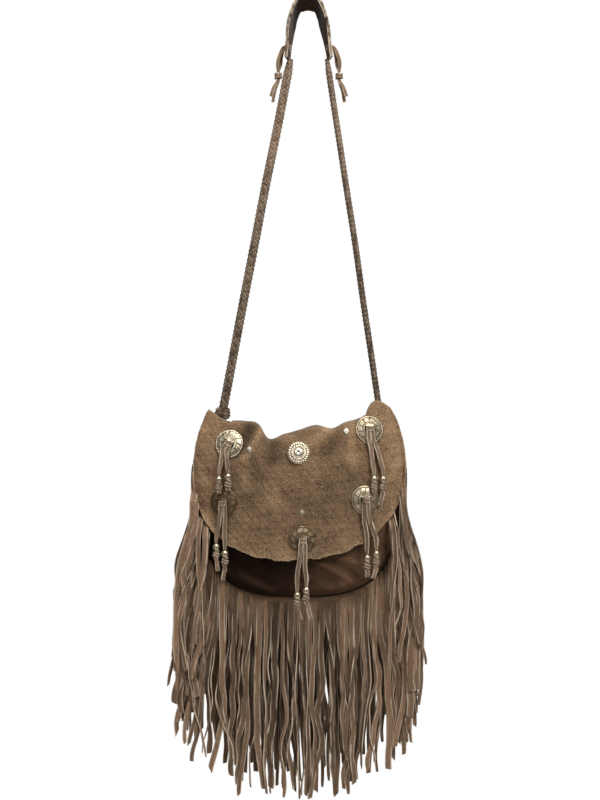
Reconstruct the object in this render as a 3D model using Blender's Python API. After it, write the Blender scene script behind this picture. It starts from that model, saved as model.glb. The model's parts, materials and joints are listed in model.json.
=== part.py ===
"""Fringed suede shoulder bag, hung by the arch of its shoulder pad.

Frame: metres, +Z up, the front faces -Y and +X is to the right of someone looking at it.
The origin is the point where a hook would carry the pad, under the top of its arch.
"""
import math

import bmesh
import bpy
import numpy as np
from mathutils import Matrix, Vector
from mathutils.bvhtree import BVHTree

MM = 0.001
SEED = 7

# Fits
CLEAR = 0.3 * MM             # between pieces that touch
FOLD_GAP = 0.9 * MM          # between the back panel's top edge and the flap's rolled edge

# Leather
SUEDE = 1.5 * MM             # panels and flap
FRINGE_SUEDE = 0.8 * MM      # fringe strips
PAD_SUEDE = 1.6 * MM         # both layers of the shoulder pad

# Pouch: two panels sewn along a U, a superellipse of the third power below its middle
BAG_X = -10.0 * MM           # middle of the bag, a little left of the hook
POUCH_HALF = 113.0 * MM      # half the width
POUCH_TOP_HALF = 94.0 * MM   # half the width at the strap ends
POUCH_MID_Z = -521.6 * MM    # where the straight sides end
POUCH_DEEP = 138.0 * MM      # from there to the bottom seam
POUCH_POWER = 3.0
FRONT_BULGE = 24.0 * MM
BACK_BULGE = 11.0 * MM
MOUTH_SIDE_Z = -483.5 * MM   # front panel's top edge at the side seams
MOUTH_DIP = 38.0 * MM        # and how far it sags in the middle
SEAM_Y = 2.0 * MM            # back panel's mid surface at the seam

# Flap: the same leather as the back, rolled over the top and hanging down the front
FLAP_HALF = 115.6 * MM
FLAP_TOP_LEFT = 94.0 * MM    # half widths at the two ears
FLAP_TOP_RIGHT = 97.0 * MM
FLAP_DEEP = 96.0 * MM        # from the pouch's middle down to the flap's lower edge
FLAP_POWER = 2.25
FLAP_TILT = 0.045            # the lower edge hangs lower on the left
FLAP_CLING = 52.0 * MM       # below this depth the leather hangs plumb
FLAP_LIFT = 0.9 * MM         # room between the flap and the front panel
FLAP_COLUMNS = 24            # shared with the back panel, which meets the flap along its top edge
EVEN_SHARE = 0.45            # 1 spaces the columns evenly, 0 crowds them at the sides
ROLL_RISE = 9.0 * MM         # height of the rolled top edge
ROLL_END = 0.8 * math.pi     # angle at which the roll runs into the front
EAR_INNER = 0.62             # shares of the half width between which the roll opens for the straps
EAR_OUTER = 0.76
EAR_TURN = 0.48              # angle of the roll that is left at the ears

# Hinge line of the flap, through the two strap ends
HINGE_Z = -445.5 * MM
HINGE_Y = -7.0 * MM

# Height of the rolled top edge below the hinge line, from the left ear to the right ear
RIDGE = (
    (-1.00, 9.0), (-0.71, 22.6), (-0.56, 23.5), (-0.40, 28.5), (-0.32, 41.0), (-0.14, 37.5),
    (0.01, 33.0), (0.17, 28.0), (0.34, 31.4), (0.47, 25.0), (0.61, 21.0), (0.69, 17.0),
    (0.76, 7.0), (0.84, 0.5), (0.92, 0.5), (1.00, 8.0),
)

# Soft folds of the flap: place across, width, height, and depth below the hinge where it is strongest
FOLDS = (
    (-0.43, 0.055, 3.4 * MM, 34.0 * MM, 26.0 * MM),
    (0.30, 0.10, 1.4 * MM, 45.0 * MM, 40.0 * MM),
    (-0.75, 0.10, 1.2 * MM, 60.0 * MM, 40.0 * MM),
)

# Fringe: two combs sewn in the seam
STRAND_LENGTH = 209.0 * MM
STRAND_PITCH = 7.2 * MM      # along the bottom seam
SIDE_PITCH = 10.5 * MM       # along the side seams
STRAND_SHARE = 0.86          # width of a strand as a share of its pitch
HEADER_IN = 3.5 * MM         # uncut strip inside the seam
HEADER_SIDE = 6.2 * MM       # uncut strip outside the seam, at the sides
HEADER_BOTTOM = 9.0 * MM     # and along the bottom
FRINGE_TOP_Z = -478.0 * MM
SPLAY = 21.0 * MM            # how far side strands hang outside their seam
STRAND_SWAY = 3.0 * MM
STRAND_STEP = 2.0 * MM       # a strand leaves its header square to the seam for this long
STRAND_TURN = 9.0 * MM       # and hangs level from here down
STRAND_MIDDLE = 0.42         # share of the length where it bends a little
STRAND_LEAN = 0.9            # depth that a strand gains for each unit it falls, until it hangs free
LAYER_SPREAD = 3.2 * MM      # how far each comb hangs from its header
UNDER_COARSER = 1.7          # pitch of the comb underneath, as a multiple of the front comb's

# Shoulder pad
PAD_HALF_WIDTH = 27.0 * MM   # along Y at the top of the arch
PAD_END_HALF = 7.5 * MM      # and at its ends
PAD_ROUTE = (                # lining's under side from the left end over the arch to the right end
    (-21.0, -70.0), (-19.2, -52.0), (-16.8, -32.0), (-12.6, -14.0), (-6.5, -2.6), (0.0, 0.0),
    (6.5, -2.8), (12.0, -14.0), (16.3, -32.0), (19.8, -52.0), (22.6, -70.0),
)
SLOT_HALF = 4.0 * MM         # slot for the tie lace, along Y
SLOT_TALL = 5.8 * MM
SLOT_UP = 12.0 * MM          # above the pad's end
TIE_SIZE = (4.2 * MM, 1.5 * MM)
TIE_APART = 1.0 * MM         # strands inside the ring, from its middle
RING_OUT = 11.7 * MM         # suede ring round the tails: out from the pad's end
RING_DOWN = 19.0 * MM        # and below it
RING_TALL = 7.0 * MM
RING_WALL = 1.1 * MM
RING_SIDES = 10

# Braided straps, oval in section: wide one way and thin the other
BRAID_WIDE = 9.6 * MM
BRAID_THIN = 7.0 * MM
BRAID_Y = 2.0 * MM
LEFT_FOOT = (-93.5 * MM, -452.0 * MM)
RIGHT_FOOT = (78.3 * MM, -451.0 * MM)
KNOT_WIDE = 18.0 * MM
KNOT_TALL = 15.0 * MM
BRAID_END = 40.0 * MM        # the braid's end is sewn down inside the back panel, this far below its foot
BRAID_END_SIZE = (7.6 * MM, 4.4 * MM)

# Metal
CONCHO_R = 15.0 * MM
CONCHO_RISE = 4.4 * MM
CONCHO_WALL = 0.9 * MM
CONCHO_SLOT = (2.6 * MM, 8.0 * MM)
CONCHO_SLOT_X = 4.6 * MM     # slot centre from the concho's centre
ROSETTE_R = 12.0 * MM
ROSETTE_RISE = 4.2 * MM
ROSETTE_BEADS = 24
ROSETTE_POST_R = 1.9 * MM
WASHER_R = 5.0 * MM
WASHER_THICK = 1.0 * MM
STUD_HALF = (2.9 * MM, 3.7 * MM)
STUD_RISE = 2.4 * MM
STUD_SEARCH = 8.0 * MM       # from how far out a stud is set down on the flap
BEAD_R = 3.9 * MM
BEAD_HOLE_R = 2.3 * MM
BEAD_TALL = 6.6 * MM

# Laces
LACE_WIDE = 5.4 * MM
LACE_THICK = 1.6 * MM
LACE_NECK = 2.9 * MM         # width where it is squeezed through a bead
LACE_BRIDGE = (4.6 * MM, 1.1 * MM)
LACE_KNOT = (7.8 * MM, 5.4 * MM)
KNOT_LONG = 4.8 * MM         # from the top to the bottom of the knot under a bead
NECK_LONG = 1.4 * MM         # from a bead or knot to where the lace is narrow
SHOULDER = 4.0 * MM          # over which it narrows above a bead
LACE_OUT = 7.2 * MM          # from the flap's mid surface to the middle of a hanging strand

# Conchos by name: place on the flap (across, height), turn of the slots, and for the two strands
# of its lace the sideways place and height of the bead, and the length of the tail
CONCHOS = {
    "upper_left": ((-75.0, -493.0), -27.0, ((-86.0, -531.0, 6.0), (-76.0, -528.0, 8.0))),
    "lower_left": ((-80.5, -556.5), 0.0, ((-89.0, -604.0, 20.0), (-79.5, -611.0, 22.0))),
    "bottom": ((4.2, -596.0), 0.0, ((-1.8, -654.5, 20.0), (8.0, -649.0, 26.0))),
    "upper_right": ((76.0, -478.0), 0.0, ((81.0, -530.5, 6.0), (91.0, -531.0, 22.0))),
    "lower_right": ((71.0, -553.0), 0.0, ((73.5, -615.5, 14.0), (83.5, -611.5, 20.0))),
}
ROSETTE_AT = (-0.4, -502.5)
STUDS = {
    "stud_left": (-52.0, -498.5),
    "stud_right": (51.0, -479.5),
    "stud_low": (3.2, -566.0),
}

COLOURS = {
    "suede": ((0.155, 0.092, 0.050), 0.95, 0.0),
    "dark_suede": ((0.040, 0.022, 0.014), 0.85, 0.0),
    "fringe_suede": ((0.125, 0.078, 0.050), 0.95, 0.0),
    "braid": ((0.115, 0.080, 0.055), 0.9, 0.0),
    "nickel": ((0.42, 0.38, 0.32), 0.34, 1.0),
}

random = np.random.default_rng(SEED)


def clear_scene():
    """Remove every object that the file opens with."""
    for thing in list(bpy.data.objects):
        bpy.data.objects.remove(thing, do_unlink=True)


def make_materials():
    """One Principled material for each finish."""
    made = {}
    for name, (colour, roughness, metallic) in COLOURS.items():
        material = bpy.data.materials.new(name)
        material.use_nodes = True
        shader = material.node_tree.nodes["Principled BSDF"]
        shader.inputs["Base Color"].default_value = (*colour, 1.0)
        shader.inputs["Roughness"].default_value = roughness
        shader.inputs["Metallic"].default_value = metallic
        made[name] = material
    return made


def add_object(name, verts, faces, material, smooth=True):
    """A mesh object whose faces all point outwards."""
    mesh = bpy.data.meshes.new(name)
    mesh.from_pydata([tuple(map(float, v)) for v in verts], [], faces)
    body = bmesh.new()
    body.from_mesh(mesh)
    bmesh.ops.recalc_face_normals(body, faces=body.faces)
    bmesh.ops.triangulate(body, faces=[f for f in body.faces if len(f.verts) > 4])
    body.to_mesh(mesh)
    body.free()
    mesh.materials.append(material)
    if smooth:
        mesh.shade_smooth()
        mesh.set_sharp_from_angle(angle=math.radians(40))
    thing = bpy.data.objects.new(name, mesh)
    bpy.context.collection.objects.link(thing)
    return thing


def cut(thing, cutter):
    """Take a hidden cutter out of an object with an exact Boolean."""
    cutter.hide_render = True
    cutter.display_type = "WIRE"
    boolean = thing.modifiers.new("cut_" + cutter.name, "BOOLEAN")
    boolean.operation = "DIFFERENCE"
    boolean.object = cutter
    return thing


def smooth_step(value, low, high):
    """0 below low, 1 above high and a smooth rise between."""
    t = np.clip((value - low) / (high - low), 0.0, 1.0)
    return t * t * (3.0 - 2.0 * t)


def curve_through(points, at):
    """Catmull-Rom curve through (key, value) points, read at the keys given."""
    keys = np.array([p[0] for p in points], float)
    values = np.array([p[1:] for p in points], float)
    slopes = np.gradient(values, keys, axis=0)
    at = np.clip(np.asarray(at, float), keys[0], keys[-1])
    i = np.clip(np.searchsorted(keys, at, side="right") - 1, 0, len(keys) - 2)
    span = (keys[i + 1] - keys[i])[..., None]
    t = ((at - keys[i])[..., None]) / span
    a, b = values[i], values[i + 1]
    ta, tb = slopes[i] * span, slopes[i + 1] * span
    return ((2 * t**3 - 3 * t**2 + 1) * a + (t**3 - 2 * t**2 + t) * ta
            + (-2 * t**3 + 3 * t**2) * b + (t**3 - t**2) * tb)


def unit(v):
    """The vectors scaled to length 1."""
    v = np.asarray(v, float)
    return v / np.maximum(np.linalg.norm(v, axis=-1, keepdims=True), 1e-12)


def thick_sheet(grid, thickness):
    """A closed leather sheet around a grid of mid-surface points, rows by columns by 3."""
    across = np.gradient(grid, axis=1)
    down = np.gradient(grid, axis=0)
    normal = unit(np.cross(across, down))
    rows, cols = grid.shape[:2]
    verts = np.concatenate([(grid + normal * thickness / 2).reshape(-1, 3),
                            (grid - normal * thickness / 2).reshape(-1, 3)])
    half = rows * cols

    def at(r, c, side):
        return side * half + r * cols + c

    faces = []
    for r in range(rows - 1):
        for c in range(cols - 1):
            faces.append((at(r, c, 0), at(r, c + 1, 0), at(r + 1, c + 1, 0), at(r + 1, c, 0)))
            faces.append((at(r, c, 1), at(r + 1, c, 1), at(r + 1, c + 1, 1), at(r, c + 1, 1)))
    rim = [(0, c) for c in range(cols)]
    rim += [(r, cols - 1) for r in range(1, rows)]
    rim += [(rows - 1, c) for c in range(cols - 2, -1, -1)]
    rim += [(r, 0) for r in range(rows - 2, 0, -1)]
    for (r0, c0), (r1, c1) in zip(rim, rim[1:] + rim[:1]):
        faces.append((at(r0, c0, 0), at(r0, c0, 1), at(r1, c1, 1), at(r1, c1, 0)))
    return verts, faces


def swept(centres, wide_dirs, sizes, sides=6):
    """A closed strand: an oval section of sizes (wide, thick) carried along the centres."""
    centres = np.asarray(centres, float)
    along = unit(np.gradient(centres, axis=0))
    wide = np.asarray(wide_dirs, float)
    wide = unit(wide - along * np.sum(wide * along, axis=1, keepdims=True))
    thick = np.cross(along, wide)
    sizes = np.asarray(sizes, float)
    turn = 2 * np.pi * (np.arange(sides) + 0.5) / sides
    square = 1.0 / np.maximum(np.abs(np.cos(turn)), np.abs(np.sin(turn)))
    reach = square if sides == 4 else 1 + (square - 1) / 2
    u, v = np.cos(turn) * reach, np.sin(turn) * reach
    verts = (centres[:, None] + wide[:, None] * (u[None, :, None] * sizes[:, None, None, 0] / 2)
             + thick[:, None] * (v[None, :, None] * sizes[:, None, None, 1] / 2))
    faces = []
    for i in range(len(centres) - 1):
        for j in range(sides):
            k = (j + 1) % sides
            faces.append((i * sides + j, i * sides + k, (i + 1) * sides + k, (i + 1) * sides + j))
    last = (len(centres) - 1) * sides
    faces.append(tuple(range(sides)))
    faces.append(tuple(range(last + sides - 1, last - 1, -1)))
    return verts.reshape(-1, 3), faces


def turned(profile, steps, closed):
    """Verts and faces of a (radius, height) profile turned round Z: a ring if closed, else capped."""
    angles = 2 * np.pi * np.arange(steps) / steps
    verts, faces, rows = [], [], []
    for radius, height in profile:
        if radius == 0.0:
            rows.append([len(verts)] * steps)
            verts.append((0.0, 0.0, height))
        else:
            rows.append(list(range(len(verts), len(verts) + steps)))
            verts.extend((radius * math.cos(a), radius * math.sin(a), height) for a in angles)
    pairs = list(zip(rows, rows[1:] + rows[:1])) if closed else list(zip(rows, rows[1:]))
    for lower, upper in pairs:
        for j in range(steps):
            k = (j + 1) % steps
            ring = [lower[j], lower[k], upper[k], upper[j]]
            face = tuple(dict.fromkeys(ring))
            if len(face) > 2:
                faces.append(face)
    return verts, faces


def box_verts(low, high):
    """Corners and faces of a box."""
    xs, ys, zs = zip(low, high)
    verts = [(x, y, z) for x in xs for y in ys for z in zs]
    faces = [(0, 1, 3, 2), (4, 6, 7, 5), (0, 4, 5, 1), (2, 3, 7, 6), (0, 2, 6, 4), (1, 5, 7, 3)]
    return verts, faces


# Pouch and flap surfaces

def ridge_drop(u):
    """Depth of the rolled top edge below the hinge line at share u of the half width."""
    return curve_through(RIDGE, u)[..., 0] * MM


def side_half(z, half, top_half):
    """Half width at height z: full at the pouch's middle, drawn in towards the strap ends."""
    rise = np.clip((z - POUCH_MID_Z) / (HINGE_Z - POUCH_MID_Z), 0.0, None)
    return half - (half - top_half) * rise**2


def seam_drop(u, deep, power):
    """Depth of a superellipse below the pouch's middle at share u of its half width."""
    return deep * np.maximum(1.0 - np.abs(u) ** power, 0.0) ** (1.0 / power)


def fullness(x, z, cling=POUCH_DEEP):
    """0 at the seam and 1 in the middle of the pouch; slacker towards the top."""
    share = np.abs(x) / side_half(z, POUCH_HALF, POUCH_TOP_HALF)
    below = np.clip(POUCH_MID_Z - z, 0.0, cling) / POUCH_DEEP
    rise = np.clip((z - POUCH_MID_Z) / (HINGE_Z - POUCH_MID_Z), 0.0, 1.0)
    round_off = np.maximum(1.0 - share**POUCH_POWER - below**POUCH_POWER, 0.0) ** 0.8
    return round_off * (0.25 + 0.75 * np.cos(rise * math.pi / 2))


def front_y(x, z, cling=POUCH_DEEP):
    """Mid surface of the front panel, carried on above its mouth."""
    edge = SEAM_Y - 2 * (FRINGE_SUEDE + CLEAR) - SUEDE - CLEAR
    return edge - FRONT_BULGE * fullness(x, z, cling)


def back_y(x, z):
    """Mid surface of the back panel."""
    share = np.abs(x) / side_half(z, POUCH_HALF, POUCH_TOP_HALF)
    below = np.clip(POUCH_MID_Z - z, 0.0, POUCH_DEEP) / POUCH_DEEP
    round_off = np.maximum(1.0 - share**POUCH_POWER - below**POUCH_POWER, 0.0) ** 0.5
    return SEAM_Y + BACK_BULGE * round_off


def flap_half(u, z):
    """Half width of the flap on the side of share u."""
    left = side_half(z, FLAP_HALF, FLAP_TOP_LEFT)
    right = side_half(z, FLAP_HALF, FLAP_TOP_RIGHT)
    return np.where(u < 0, left, right)


def flap_y(x, z):
    """Mid surface of the flap's front, one leather in front of the front panel, with its soft folds."""
    y = front_y(x, z, FLAP_CLING)
    slope_x = (front_y(x + MM, z, FLAP_CLING) - y) / MM
    slope_z = (front_y(x, z + MM, FLAP_CLING) - y) / MM
    y = y - (SUEDE + FLAP_LIFT) * np.sqrt(1 + np.minimum(slope_x**2 + slope_z**2, 4.0))
    share = x / FLAP_HALF
    for place, width, height, deep, tall in FOLDS:
        across = np.exp(-((share - place) / width) ** 2)
        down = np.exp(-((HINGE_Z - deep - z) / tall) ** 2)
        y = y - height * across * down
    return y


def column_shares(columns):
    """Shares of the half width for the columns, a little closer together towards the sides."""
    even = np.linspace(-1.0, 1.0, columns + 1)
    return EVEN_SHARE * even + (1 - EVEN_SHARE) * np.sin(even * math.pi / 2)


def make_panel(name, top_z, surface, columns, rows, material):
    """A panel of the pouch from its top edge down to the U seam."""
    u = column_shares(columns)
    bottom = POUCH_MID_Z - seam_drop(u, POUCH_DEEP, POUCH_POWER)
    t = np.linspace(0.0, 1.0, rows + 1)[:, None]
    z = top_z(u) * (1 - t) + bottom * t
    x = u * side_half(z, POUCH_HALF, POUCH_TOP_HALF)
    grid = np.stack([x + BAG_X, surface(x, z), z], axis=-1)
    return add_object(name, *thick_sheet(grid, SUEDE), material)


def flap_grid(columns, roll_rows, rows):
    """Mid-surface points of the flap, from its rolled edge at the back down to its lower edge."""
    u = column_shares(columns)
    ridge = HINGE_Z - ridge_drop(u)
    centre_z = ridge - ROLL_RISE
    x_top = u * flap_half(u, ridge)
    opening = smooth_step(np.abs(u), EAR_INNER, EAR_OUTER)
    start = opening * (ROLL_END - EAR_TURN)
    start_z = centre_z + ROLL_RISE * math.sin(ROLL_END)
    y_front = flap_y(x_top, start_z)
    x_back = u * side_half(centre_z, POUCH_HALF, POUCH_TOP_HALF)
    y_back = back_y(x_back, centre_z)
    reach = (y_back - y_front) / (1.0 - math.cos(ROLL_END))
    points = []
    for i in range(roll_rows):
        angle = start + (ROLL_END - start) * i / roll_rows
        x = x_back + (x_top - x_back) * angle / ROLL_END
        points.append((x, y_back - reach + reach * np.cos(angle), centre_z + ROLL_RISE * np.sin(angle)))
    bottom = POUCH_MID_Z - seam_drop(u, FLAP_DEEP, FLAP_POWER) + FLAP_TILT * u * FLAP_HALF
    for i in range(rows + 1):
        t = (i / rows) ** 1.15
        z = start_z * (1 - t) + bottom * t
        x = u * flap_half(u, z)
        points.append((x, flap_y(x, z), z))
    grid = np.array([np.stack(p, axis=-1) for p in points])
    grid[..., 0] += BAG_X
    return grid


# Fringe

def seam_curve(count=600):
    """Points of the U seam from the top of the left side to the top of the right side."""
    side_z = np.linspace(FRINGE_TOP_Z, POUCH_MID_Z, count // 4, endpoint=False)
    side_x = side_half(side_z, POUCH_HALF, POUCH_TOP_HALF)
    u = column_shares(count)
    bottom = np.stack([u * POUCH_HALF, POUCH_MID_Z - seam_drop(u, POUCH_DEEP, POUCH_POWER)], axis=-1)
    left = np.stack([-side_x, side_z], axis=-1)
    right = np.stack([side_x, side_z], axis=-1)[::-1]
    return np.concatenate([left, bottom, right])


def strand_places(pitch_bottom, pitch_side):
    """Place, tangent and outward normal at both edges and the middle of every strand on the seam."""
    curve = seam_curve()
    steps = np.linalg.norm(np.diff(curve, axis=0), axis=1)
    length = np.concatenate([[0.0], np.cumsum(steps)])
    tangent = unit(np.gradient(curve, axis=0))
    weight = tangent[:, 0] ** 2
    pitch = pitch_side * (1 - weight) + pitch_bottom * weight
    number = np.concatenate([[0.0], np.cumsum(steps / ((pitch[1:] + pitch[:-1]) / 2))])
    strands = int(number[-1])
    number *= strands / number[-1]
    gap = (1 - STRAND_SHARE) / 2
    keys = np.arange(strands)[:, None] + np.array([gap, 0.5, 1 - gap])
    at = np.interp(keys, number, length)
    place = np.stack([np.interp(at, length, curve[:, k]) for k in (0, 1)], axis=-1)
    along = unit(np.stack([np.interp(at, length, tangent[:, k]) for k in (0, 1)], axis=-1))
    outward = np.stack([along[..., 1], -along[..., 0]], axis=-1)
    return place, along, outward


def strand_x(start, fall, length, splay, sway):
    """Sideways place of a strand's middle after it has fallen some way; its ends sway a little."""
    keys = (0.0, 0.12 * length, STRAND_MIDDLE * length, length)
    places = (start, start + 0.35 * splay, start + splay + sway[0], start + 1.1 * splay + sway[1])
    return float(np.interp(fall, keys, places))


def strand_depths(starts, widths, lengths, splays, sways):
    """How far each strand hangs in front of its comb, so that it clears every strand it crosses.

    Worked from the middle outwards, because a strand from higher up the side lies over those below.
    """
    count = len(starts)
    lap = FRINGE_SUEDE + CLEAR
    heights = np.linspace(starts[:, 1].min() - 0.5 * MM, starts[:, 1].min() - STRAND_LENGTH, 12)
    heights = np.concatenate([starts[:, 1] - STRAND_TURN, starts[:, 1] - 2 * STRAND_TURN, heights])
    lanes = np.full((count, len(heights)), np.nan)
    for i in range(count):
        for k, z in enumerate(heights):
            fall = starts[i, 1] - z
            if 0.0 <= fall <= lengths[i]:
                lanes[i, k] = strand_x(starts[i, 0], fall, lengths[i], splays[i], sways[i])
    depth = np.zeros(count)
    centre = int(np.argmin(np.abs(starts[:, 0])))
    for side in (1, -1):
        i = centre + side
        while 0 <= i < count:
            for j in range(centre, i, side):
                apart = np.nanmin(np.abs(lanes[i] - lanes[j]))
                if apart < (widths[i] + widths[j]) / 2 + CLEAR:
                    depth[i] = max(depth[i], depth[j] + lap)
            i += side
    return depth


def make_fringe(name, header_y, facing, pitch_bottom, pitch_side, material):
    """A comb of strands hanging from an uncut header; facing is -1 for the front comb, 1 for the back."""
    place, along, outward = strand_places(pitch_bottom, pitch_side)
    strands = len(place)
    sideways = np.abs(outward[..., 0])
    header_out = HEADER_BOTTOM + (HEADER_SIDE - HEADER_BOTTOM) * sideways
    inner = place - outward * HEADER_IN
    outer = place + outward * header_out[..., None]
    verts, faces = [], []

    def add_vert(xz, y):
        verts.append((xz[0] + BAG_X, y, xz[1]))
        return len(verts) - 1

    def add_section(corner_a, corner_b, y):
        return [add_vert(corner_a, y - FRINGE_SUEDE / 2), add_vert(corner_b, y - FRINGE_SUEDE / 2),
                add_vert(corner_b, y + FRINGE_SUEDE / 2), add_vert(corner_a, y + FRINGE_SUEDE / 2)]

    def join(first, second):
        for k in range(4):
            m = (k + 1) % 4
            faces.append((first[k], first[m], second[m], second[k]))

    tops, bottoms = [], []
    for i in range(strands):
        tops.append(add_section(inner[i, 0], inner[i, 2], header_y))
        bottoms.append(add_section(outer[i, 0], outer[i, 2], header_y))
    for i in range(strands):
        top, low = tops[i], bottoms[i]
        faces.append((top[0], top[1], low[1], low[0]))
        faces.append((top[2], top[3], low[3], low[2]))
        faces.append((top[0], top[1], top[2], top[3]))
        if i + 1 < strands:
            nxt, nlow = tops[i + 1], bottoms[i + 1]
            faces.append((top[1], nxt[0], nlow[0], low[1]))
            faces.append((top[2], nxt[3], nlow[3], low[2]))
            faces.append((top[1], nxt[0], nxt[3], top[2]))
            faces.append((low[1], nlow[0], nlow[3], low[2]))
    faces.append((tops[0][0], bottoms[0][0], bottoms[0][3], tops[0][3]))
    faces.append((tops[-1][1], bottoms[-1][1], bottoms[-1][2], tops[-1][2]))

    sway = random.uniform(-1.0, 1.0, (strands, 2)) * STRAND_SWAY
    lengths = STRAND_LENGTH + random.uniform(-5.0, 5.0, strands) * MM
    width = np.linalg.norm(outer[:, 2] - outer[:, 0], axis=1)
    splay = SPLAY * outward[:, 1, 0] * sideways[:, 1]
    depth = strand_depths(outer[:, 1], width, lengths, splay, sway)
    for i in range(strands):
        free = (LAYER_SPREAD + depth[i]) / STRAND_LEAN
        section = bottoms[i]
        lean_out = outward[i, 1] * STRAND_STEP
        first = outer[i, 1] + lean_out * sideways[i, 1] - np.array([0.0, STRAND_STEP * 0.4])
        slope = unit(along[i, 1])
        following = add_section(first - slope * width[i] / 2, first + slope * width[i] / 2,
                                header_y + facing * STRAND_LEAN * STRAND_STEP)
        join(section, following)
        section = following
        level = np.array([width[i] / 2, 0.0])
        for fall in (max(free, STRAND_TURN), STRAND_MIDDLE * lengths[i], lengths[i]):
            x = strand_x(outer[i, 1, 0], fall, lengths[i], splay[i], sway[i])
            centre = np.array([x, outer[i, 1, 1] - fall])
            y = header_y + facing * min(LAYER_SPREAD + depth[i], STRAND_LEAN * fall)
            following = add_section(centre - level, centre + level, y)
            join(section, following)
            section = following
        faces.append(tuple(section))
    return add_object(name, verts, faces, material, smooth=False)


# Shoulder pad, straps and ties

def pad_grid(lift, rows, cols):
    """Mid-surface points of one layer of the pad, lifted off the hook's line."""
    route = np.array(PAD_ROUTE) * MM
    steps = np.concatenate([[0.0], np.cumsum(np.linalg.norm(np.diff(route, axis=0), axis=1))])
    share = np.linspace(0.0, 1.0, rows + 1)
    keyed = np.column_stack([steps / steps[-1], route])
    xz = curve_through(keyed, share)
    tangent = unit(np.gradient(xz, axis=0))
    normal = np.stack([-tangent[:, 1], tangent[:, 0]], axis=-1)
    xz = xz + normal * lift
    from_end = np.minimum(share, 1 - share) * 2
    half = PAD_END_HALF + (PAD_HALF_WIDTH - PAD_END_HALF) * smooth_step(from_end, 0.12, 0.8)
    y = np.linspace(-1.0, 1.0, cols + 1)[None, :] * half[:, None]
    x = np.repeat(xz[:, :1], cols + 1, axis=1)
    z = np.repeat(xz[:, 1:], cols + 1, axis=1)
    return np.stack([x, y, z], axis=-1)


def slot_cutter(side):
    """Hidden box that cuts the tie lace's slot through both layers of the pad."""
    end_x = PAD_ROUTE[0][0] if side < 0 else PAD_ROUTE[-1][0]
    end_z = PAD_ROUTE[0][1] * MM + SLOT_UP
    reach = 9.0 * MM
    low = (end_x * MM - reach, -SLOT_HALF, end_z - SLOT_TALL / 2)
    high = (end_x * MM + reach, SLOT_HALF, end_z + SLOT_TALL / 2)
    name = "slot_left" if side < 0 else "slot_right"
    return name, box_verts(low, high)


def make_pad(materials):
    """The two layers of the pad, each with a slot near either end."""
    lining_lift = PAD_SUEDE / 2
    outer_lift = PAD_SUEDE * 1.5 + CLEAR
    cutters = []
    for side in (-1, 1):
        name, shape = slot_cutter(side)
        cutters.append(add_object(name, *shape, materials["dark_suede"], smooth=False))
    for name, lift, finish in (("pad_lining", lining_lift, "dark_suede"), ("pad_outer", outer_lift, "suede")):
        layer = add_object(name, *thick_sheet(pad_grid(lift, 22, 2), PAD_SUEDE), materials[finish])
        for cutter in cutters:
            cut(layer, cutter)


def braid_ends(side):
    """Top and foot of a braid's straight run."""
    end = PAD_ROUTE[0] if side < 0 else PAD_ROUTE[-1]
    foot = LEFT_FOOT if side < 0 else RIGHT_FOOT
    top = np.array([end[0] * MM - side * PAD_SUEDE, BRAID_Y, end[1] * MM - 2 * CLEAR])
    return top, np.array([foot[0], BRAID_Y, foot[1]])


def make_braid(name, side, material):
    """A braided strap with the knot that holds its lower end under the flap's ear."""
    top, foot = braid_ends(side)
    run = np.linspace(0.0, 1.0, 10)[:, None]
    centres = list(top * (1 - run) + foot * run)
    size = (BRAID_WIDE, BRAID_THIN) if side < 0 else (BRAID_THIN, BRAID_WIDE)
    sizes = [size] * len(centres)
    across = foot[0] - BAG_X
    knot_z = foot[2] - KNOT_TALL / 2
    outer = abs(across) + KNOT_WIDE / 3
    near = flap_y(math.copysign(outer, across), knot_z) + SUEDE / 2 + 2 * CLEAR
    far = back_y(outer, knot_z) - SUEDE / 2 - CLEAR
    for share, full in ((0.22, 0.8), (0.4, 1.0), (0.7, 1.0), (0.95, 0.7)):
        centres.append(np.array([foot[0], (near + far) / 2, foot[2] - share * KNOT_TALL]))
        sizes.append((KNOT_WIDE * full, (far - near) * full))
    for below in (KNOT_TALL * 1.4, BRAID_END):
        z = foot[2] - below
        y = back_y(abs(across) + BRAID_END_SIZE[0] / 2, z) - SUEDE / 2 - CLEAR - BRAID_END_SIZE[1] / 2
        centres.append(np.array([foot[0], y, z]))
        sizes.append(BRAID_END_SIZE)
    wide = np.tile([1.0, 0.0, 0.0], (len(centres), 1))
    return add_object(name, *swept(centres, wide, sizes, sides=8), material)


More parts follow.
